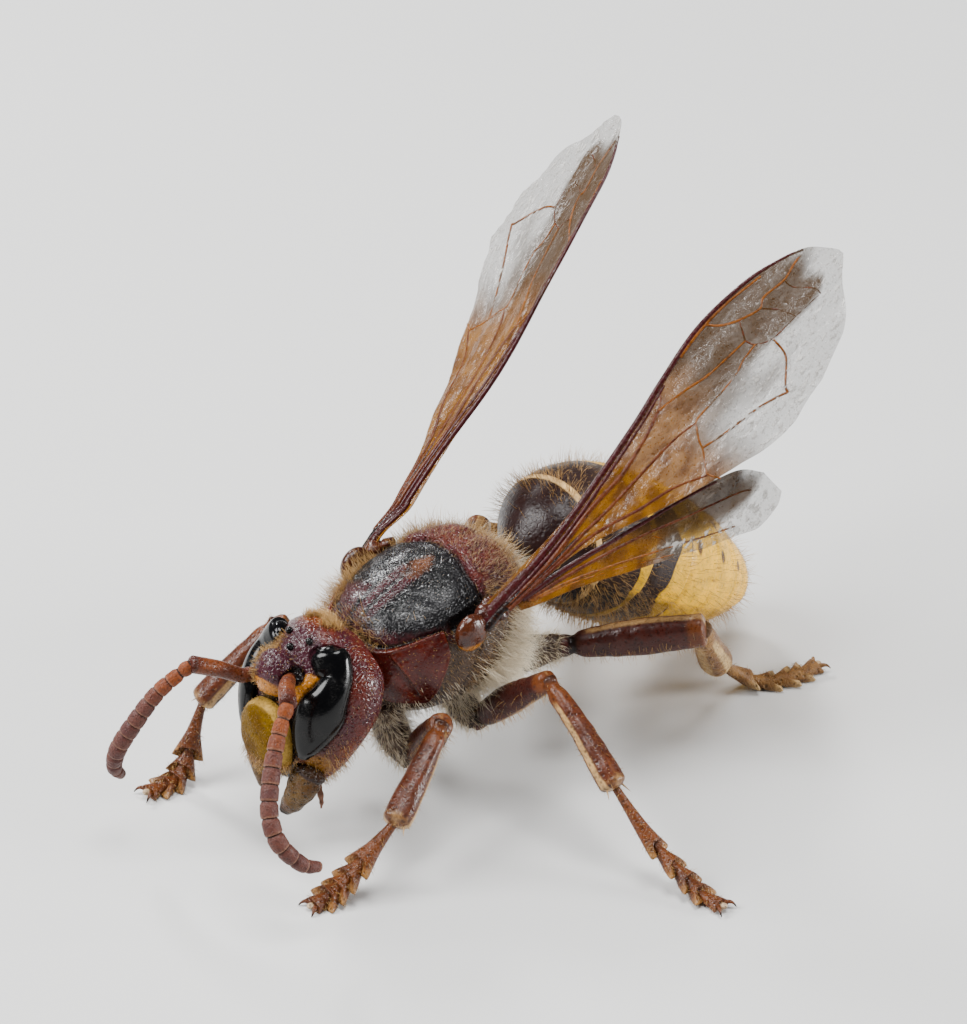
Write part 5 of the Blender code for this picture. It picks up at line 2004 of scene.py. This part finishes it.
FOREWING: Rows = (
    (-0.8, -0.22, 0.35), (0.6, -0.3, 0.55), (2.4, -0.34, 0.7), (4.4, -0.4, 0.92), (6.8, -0.66, 1.7),
    (9.2, -1.12, 2.5), (11.3, -1.62, 3.05), (13.3, -2.05, 3.5), (15.3, -2.2, 3.2), (17.1, -2.08, 2.7),
    (18.7, -1.7, 1.95), (19.75, -1.25, 0.75), (20.37, -0.62, 0.2), (20.6, -0.25, -0.02),
)
HINDWING: Rows = (
    (0.9, 0.5, 0.9), (1.6, 0.7, 1.25), (3.2, 0.93, 1.9), (5.2, 1.42, 2.95), (7.2, 1.95, 4.0),
    (9.0, 2.4, 4.95), (10.4, 2.8, 5.45), (11.4, 3.25, 5.4), (11.95, 3.95, 5.05),
)


@dataclass
class WingRoot:
    """The scale over a wing's root and the small hinge plates round it."""

    side: Side
    middle: Colour = (3.45, -0.45, 1.25)
    half: Colour = (0.45, 0.78, 0.8)
    plates: tuple[tuple[Colour, Colour], ...] = (
        ((3.3, 0.45, 1.75), (0.4, 0.5, 0.36)),
        ((3.3, 1.0, 1.5), (0.26, 0.3, 0.3)),
        ((3.2, 0.25, 1.5), (0.24, 0.32, 0.3)),
        ((3.2, 1.45, 1.2), (0.24, 0.34, 0.24)),
        ((3.45, 0.7, 1.3), (0.2, 0.3, 0.22)),
        ((3.05, 0.9, 1.95), (0.26, 0.4, 0.22)),
    )

    def build(self) -> None:
        """Builds the scale and the hinge plates."""
        sign = np.array((self.side.value, 1, 1))
        scale = egg(np.array(self.middle) * sign, self.half, 64, 48)
        scale.masks["amber"] = step(-0.2, -0.55, scale.grid[..., 2] - self.middle[2])
        word = self.side.word
        piece("wing_scale_" + word, [scale], SCALE_SHELL, ("tegula_" + word,))
        lumps = []
        for place, half in self.plates:
            lump = egg(np.array(place) * sign, half, 32, 24)
            lumps.append(lump.push(0.03 * waves(lump.grid, 0.25, 60)))
        piece("wing_hinge_" + word, lumps, HINGE_SHELL, ())


@dataclass
class Coat:
    """All the hair of the animal, piece by piece."""

    thorax: Skin
    head: Skin
    shield: Skin
    belly: list[Skin]
    legs: dict[tuple[Pair, Side], dict[str, Skin]]

    PALE = (0.4, 1.0)
    BACK = (0.0, 0.9, -0.2)

    def on_thorax(self) -> None:
        """Golden fringe round the back, cream pile low on the flanks, sparse short hair on top."""
        skin = self.thorax
        x, y, z = np.moveaxis(skin.grid, -1, 0)
        wide = np.abs(x)
        behind = y - Thorax().collar_edge(x, z)
        panel = fade(-0.3, 0.25, behind) * step(1.0, 1.5, wide) * step(-1.8, -1.2, z) * (x > 0)
        scutum = step(1.7, 2.0, z) * fade(0.6, 1.0, y) * step(0.2, 0.5, behind)
        right = step(1.5, 2.5, -x) * step(-0.6, 0.4, z)
        nape = fade(-3.7, -3.1, y) * step(0.2, 0.8, z)
        rump = step(2.5, 3.2, y) * step(0.6, 1.2, z)
        hinge = step(2.0, 2.6, wide) * bell((z - 1.7) / 0.5, 1.0) * step(0.6, 1.2, y)
        fringe = np.clip(1.6 * right + 1.2 * nape + 0.4 * rump + 0.7 * hinge, 0, 2) * (1 - 0.97 * panel)
        gold = Fur("fur_thorax_gold", 101, GOLD_PILE)
        bare = (1 - scutum) * (1 - panel)
        gold.plant(skin, 2300, (0.5, 1.05), 0.009, (0.0, 0.2, 0.4), 0.85, fringe * bare)
        gold.plant(skin, 2600, (0.2, 0.5), 0.007, (0.0, 0.6, 0.2), 0.7, (fringe + 0.02) * bare, (0.0, 0.8))
        gold.plant(skin, 160, (0.06, 0.12), 0.006, (0.0, 0.9, 0.0), 0.5, panel, (0.3, 1.0))
        flank = step(-0.1, 0.4, behind) * fade(0.9, 1.4, z) * step(-2.2, -1.4, z) * step(1.8, 2.4, wide)
        gold.plant(skin, 1700, (0.12, 0.32), 0.006, (0.2, 0.6, -0.7), 0.5, flank, (0.0, 1.0))
        gold.build("plate_maroon")
        under = fade(-1.8, -0.2, z) * 0.7
        under += 1.5 * fade(-0.2, 0.9, z - 0.5 * (y - 1.2)) * step(0.2, 1.4, y)
        under = np.clip(under, 0, 2) * (1 - 0.97 * panel) * step(-3.6, -3.0, y + 0.4 * wide)
        rear = step(0.6, 2.0, y)
        cream = Fur("fur_thorax_cream", 102, CREAM_PILE)
        cream.plant(skin, 5200, (0.45, 0.95), 0.009, (0.35, 0.6, -0.75), 0.6, under * (0.2 + rear))
        cream.plant(skin, 3600, (0.2, 0.5), 0.01, (0.2, 0.6, -0.8), 0.55, under, (0.0, 0.6))
        cream.plant(skin, 900, (0.8, 1.2), 0.009, (0.2, 0.4, -0.8), 0.75, under * (0.3 + rear), (0.5, 1.0))
        tail = bell((y - 1.9) / 1.1, 1.0) * bell((z + 1.3) / 1.0, 1.0) * step(1.4, 2.0, wide)
        cream.plant(skin, 2600, (0.9, 1.5), 0.009, (0.5, 0.6, -0.3), 0.75, tail, (0.5, 1.0))
        cream.build("plate_maroon")
        dark = Fur("fur_thorax_back", 103, DARK_PILE)
        dark.plant(skin, 170, (0.06, 0.14), 0.005, (0.0, 0.8, 0.3), 0.6, scutum, (0.0, 0.4))
        shield = step(1.7, 2.0, z) * step(1.0, 1.3, y) * (0.5 + wide / 4)
        dark.plant(skin, 1300, (0.15, 0.4), 0.009, (0.0, 0.7, 0.3), 0.7, shield, self.PALE)
        dark.build("scutum_black")

    def on_head(self) -> None:
        """Golden pile on brow and crown, bristles under the cheeks, down on the shield."""
        skin = self.head
        x, y, z = np.moveaxis(skin.grid, -1, 0)
        eyes = np.zeros_like(x)
        maker = Head()
        for sign in (1, -1):
            for row in smooth(maker.eye_rows, 24) * (sign, 1, 1, 1, 1):
                middle = tuple(maker.tilt.lean(row[:3]))
                eyes = np.maximum(eyes, within(skin.grid, middle, (row[3] * 1.05,) * 3, 0.08))
        free = (1 - eyes) * (1 - step(-4.7, -4.3, y) * fade(1.2, 1.8, z))
        brow = step(-6.2, -6.8, y) * step(0.1, 0.5, z) * step(-0.2, -0.9, x)
        crown = within(skin.grid, (-0.15, -5.2, 2.1), (0.85, 0.4, 0.4), 0.4)
        cheek = fade(-2.9, -1.2, z) * step(0.8, 1.6, np.abs(x))
        rim = fade(-3.6, -2.6, z) * step(0.6, 1.2, np.abs(x))
        gold = Fur("fur_head", 104, GOLD_PILE)
        short = free * (0.4 + brow + 0.5 * cheek)
        gold.plant(skin, 1500, (0.07, 0.16), 0.006, (0.0, 0.3, -1.0), 0.45, short, self.PALE)
        gold.plant(skin, 650, (0.2, 0.5), 0.01, (0.0, -0.2, 0.7), 0.65, free * crown, (0.3, 1.0))
        gold.plant(skin, 650, (0.15, 0.36), 0.009, (0.0, -0.5, 0.2), 0.7, free * brow, (0.3, 1.0))
        below = free * (cheek * 0.35 + rim)
        gold.plant(skin, 800, (0.2, 0.55), 0.01, (0.0, 0.35, -1.0), 0.68, below, self.PALE)
        gold.plant(self.shield, 500, (0.05, 0.11), 0.006, (0.0, -0.2, -1.0), 0.4, None, (0.5, 1.0))
        low = fade(-3.1, -2.3, self.shield.grid[..., 2])
        gold.plant(self.shield, 420, (0.2, 0.5), 0.01, (0.0, -0.4, -1.0), 0.6, low, (0.3, 1.0))
        gold.build("plate_maroon")

    def on_belly(self) -> None:
        """Pale bristles on every ring, longest at the front, the sides and underneath."""
        front = Fur("fur_belly_front", 105, GOLD_PILE)
        rear = Fur("fur_belly_rear", 106, GOLD_PILE)
        for number, skin in enumerate(self.belly):
            x, _, z = np.moveaxis(skin.grid, -1, 0)
            middle = skin.grid.mean(axis=1, keepdims=True)
            low = step(0.4, -1.6, z - middle[..., 2])
            rim = step(0.7, 0.95, np.linspace(0, 1, skin.grid.shape[0]))[:, None] * np.ones_like(z)
            if number == 0:
                where = (1 - 0.97 * step(-0.4, 0.4, z) * (1 - rim)) + 0.8 * rim
                front.plant(skin, 800, (0.5, 0.95), 0.009, (0.0, -0.4, 0.4), 0.9, where, self.PALE, 6)
                front.plant(skin, 700, (0.06, 0.14), 0.005, (0.0, -0.4, 0.2), 0.5, 0.3 + rim, self.PALE, 6)
            elif number < 3:
                where = 0.3 + low + 0.4 * rim
                front.plant(skin, 700, (0.45, 0.9), 0.009, (0.0, 0.6, -0.2), 0.85, where, self.PALE, 6)
                front.plant(skin, 2200, (0.12, 0.25), 0.007, self.BACK, 0.45, 0.5 + low, (0.1, 0.8), 6)
            else:
                total, where = 760 - 90 * number, 0.3 + 1.2 * low + 0.4 * rim
                rear.plant(skin, total, (0.45, 0.9), 0.009, (0.0, 0.7, -0.2), 0.85, where, self.PALE, 8)
                rear.plant(skin, 900, (0.1, 0.22), 0.007, self.BACK, 0.45, None, self.PALE, 8)
        front.build("gaster_brown")
        rear.build("band_yellow")

    def on_legs(self) -> None:
        """Fringes on hips and thighs, short bristles on shanks and toes."""
        for side in Side:
            fur = Fur("fur_legs_" + side.word, 107 + (side is Side.RIGHT), GOLD_PILE)
            down = Fur("fur_hips_" + side.word, 109 + (side is Side.RIGHT), CREAM_PILE)
            for pair in Pair:
                skins = self.legs[pair, side]
                hip = skins["coxa"]
                down.plant(hip, 1600, (0.2, 0.65), 0.009, (0.4, 0.5, -0.6), 0.6, None, (0.25, 1.0), 3)
                for node, length, fringe in (("femur", (0.2, 0.55), 2.0), ("tibia", (0.08, 0.26), 0.3)):
                    skin = skins[node]
                    low = skin.grid[..., 2] - skin.grid.mean(axis=1, keepdims=True)[..., 2]
                    where = 0.15 + step(0.1, -0.3, low) * fringe
                    fur.plant(skin, 240, length, 0.007, (0.2, 0.3, -0.8), 0.65, where, (0.3, 1.0), 24)
                for number in range(5):
                    toe = skins["toe_%d" % number]
                    fur.plant(toe, 60, (0.12, 0.28), 0.011, (0.3, 0.0, -0.9), 0.5, None, (0.0, 0.7), 24)
            fur.build("limb_brown")
            down.build("limb_brown")

    def build(self) -> None:
        """Builds every piece of hair."""
        self.on_thorax()
        self.on_head()
        self.on_belly()
        self.on_legs()


@dataclass(frozen=True)
class Camera:
    """The camera that took the photograph, about the middle of the thorax.

    Fields: its bearing, height and roll in degrees, the picture's scale in pixels a millimetre, the
    pixel of the origin, how far away it stands and its sensor's height, both in millimetres.
    """

    bearing: float = 46.65
    rise: float = 31.71
    roll: float = -1.38
    scale: float = 24.63
    centre: tuple[float, float] = (420.56, 620.84)
    away: float = 180.0
    sensor: float = 36.0

    def build(self) -> None:
        """Places the camera and makes it the scene's own."""
        turn, rise, roll = (math.radians(angle) for angle in (self.bearing, self.rise, self.roll))
        right = np.array((math.cos(turn), math.sin(turn), 0.0))
        level = np.array((-math.sin(turn), math.cos(turn), 0.0))
        top = np.array((0.0, 0.0, 1.0))
        up = level * math.sin(rise) + top * math.cos(rise)
        back = top * math.sin(rise) - level * math.cos(rise)
        across = right * math.cos(roll) - up * math.sin(roll)
        upward = right * math.sin(roll) + up * math.cos(roll)
        data = bpy.data.cameras.new("camera")
        data.sensor_fit = "VERTICAL"
        data.sensor_height = self.sensor
        data.lens = self.sensor * self.scale * self.away / PHOTO_HEIGHT
        data.shift_x = -(self.centre[0] - PHOTO_WIDTH / 2) / PHOTO_HEIGHT
        data.shift_y = (self.centre[1] - PHOTO_HEIGHT / 2) / PHOTO_HEIGHT
        data.clip_start = 0.005
        data.clip_end = 5.0
        obj = add_object("camera", data)
        place = to_row(back * self.away)
        columns = np.column_stack([across, upward, back, place])
        obj.matrix_world = Matrix([*columns.tolist(), [0, 0, 0, 1]])
        bpy.context.scene.camera = obj


@dataclass(frozen=True)
class Studio:
    """Pale floor and plain soft light.

    Fields: rows of a lamp's name, place in metres, size in metres and power in watts; the height
    in metres that the lamps aim at; the strength of the light from all round; and half the floor's
    width and how far it lies under the feet, in metres.
    """

    lamps: tuple[tuple[str, Colour, float, float], ...] = (
        ("front", (-0.12, -0.19, 0.2), 0.18, 1.7),
        ("over", (0.03, 0.0, 0.32), 0.16, 1.1),
        ("left", (-0.24, 0.05, 0.17), 0.06, 0.7),
        ("right", (0.21, 0.2, 0.08), 0.11, 1.2),
    )
    aim: float = 0.008
    around: float = 0.13
    floor_half: float = 1.2
    floor_low: float = 0.00003

    def floor(self) -> None:
        """Makes the floor."""
        mesh = bpy.data.meshes.new("floor")
        half, low = self.floor_half, -self.floor_low
        corners = [(-half, -half, low), (half, -half, low), (half, half, low), (-half, half, low)]
        mesh.from_pydata(corners, [], [(0, 1, 2, 3)])
        mesh.materials.append(Ground().material())
        add_object("floor", mesh)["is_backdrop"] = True

    def build(self) -> None:
        """Makes the floor, the lamps and the light all round."""
        self.floor()
        for name, place, size, power in self.lamps:
            data = bpy.data.lights.new(name, "AREA")
            data.shape = "DISK"
            data.size = size
            data.energy = power
            way = unit(np.array(place) - (0.0, 0.0, self.aim))
            aside = unit(np.cross((0, 0, 1), way))
            columns = np.column_stack([aside, np.cross(way, aside), way, place])
            add_object(name, data).matrix_world = Matrix([*columns.tolist(), [0, 0, 0, 1]])
        world = bpy.data.worlds.new("studio")
        world.use_nodes = True
        backdrop = world.node_tree.nodes["Background"]
        backdrop.inputs["Color"].default_value = (0.93, 0.95, 1.0, 1.0)
        backdrop.inputs["Strength"].default_value = self.around
        bpy.context.scene.world = world


def feelers() -> list[Feeler]:
    """Sets out the two feelers.

    Returns:
        The left one and the right one.
    """
    left = Feeler(
        Side.LEFT,
        ((0.75, -7.75, 0.79, 0.28), (1.75, -8.75, 1.28, 0.33), (2.84, -9.64, 1.48, 0.36)),
        (
            (2.84, -9.64, 1.48, 0.26), (3.33, -10.62, 0.38, 0.32), (3.91, -11.44, -0.73, 0.36),
            (4.54, -12.05, -1.84, 0.36), (5.19, -12.12, -2.81, 0.36), (5.74, -11.42, -3.8, 0.31),
            (5.92, -10.72, -4.14, 0.22),
        ),
    )
    right = Feeler(
        Side.RIGHT,
        (
            (-0.94, -7.85, 0.6, 0.28), (-1.1, -8.5, 0.38, 0.3), (-1.5, -9.4, 0.85, 0.34),
            (-1.92, -10.5, 1.33, 0.36),
        ),
        (
            (-1.92, -10.5, 1.33, 0.26), (-2.53, -11.7, 0.26, 0.32), (-3.01, -12.66, -1.18, 0.36),
            (-3.45, -13.08, -2.35, 0.36), (-3.83, -12.96, -3.4, 0.31), (-3.97, -12.53, -4.0, 0.22),
        ),
    )
    return [left, right]


def wings() -> list[Wing]:
    """Sets out the four wings.

    Returns:
        The left pair and the right pair.
    """
    left, right = (6.3, 16.85, 13.4), (5.3, 15.5, 15.85)
    low_left, low_right = math.radians(20), math.radians(37)
    return [
        Wing("forewing", Side.LEFT, FOREWING, FORE_VEINS, left, 0.99),
        Wing("hindwing", Side.LEFT, HINDWING, HIND_VEINS, left, 0.99, low_left),
        Wing("forewing", Side.RIGHT, FOREWING, FORE_VEINS, right, 1.0, 0.0, 0.4, 0.07, 0.5, 0.28, 0.3),
        Wing("hindwing", Side.RIGHT, HINDWING, HIND_VEINS, right, 1.02, low_right, bow=0.5, twist=0.4),
    ]


def main() -> None:
    """Builds the hornet, its light and its camera."""
    logging.basicConfig(level=logging.INFO, format="%(name)s %(message)s")
    Camera().build()
    Studio().build()
    thorax = Thorax().build()
    head, shield = Head().build()
    for feeler in feelers():
        feeler.build()
    belly = Abdomen().build()
    legs = {(leg.pair, leg.side): leg.build() for leg in LEGS}
    for wing in wings():
        wing.build()
    for side in Side:
        WingRoot(side).build()
    Coat(thorax, head, shield, belly, legs).build()
    boxes = {"frame": FRAME_BOX, "model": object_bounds()}
    boxes = {name: [list(corner) for corner in box] for name, box in boxes.items()}


if __name__ == "__main__":
    main()
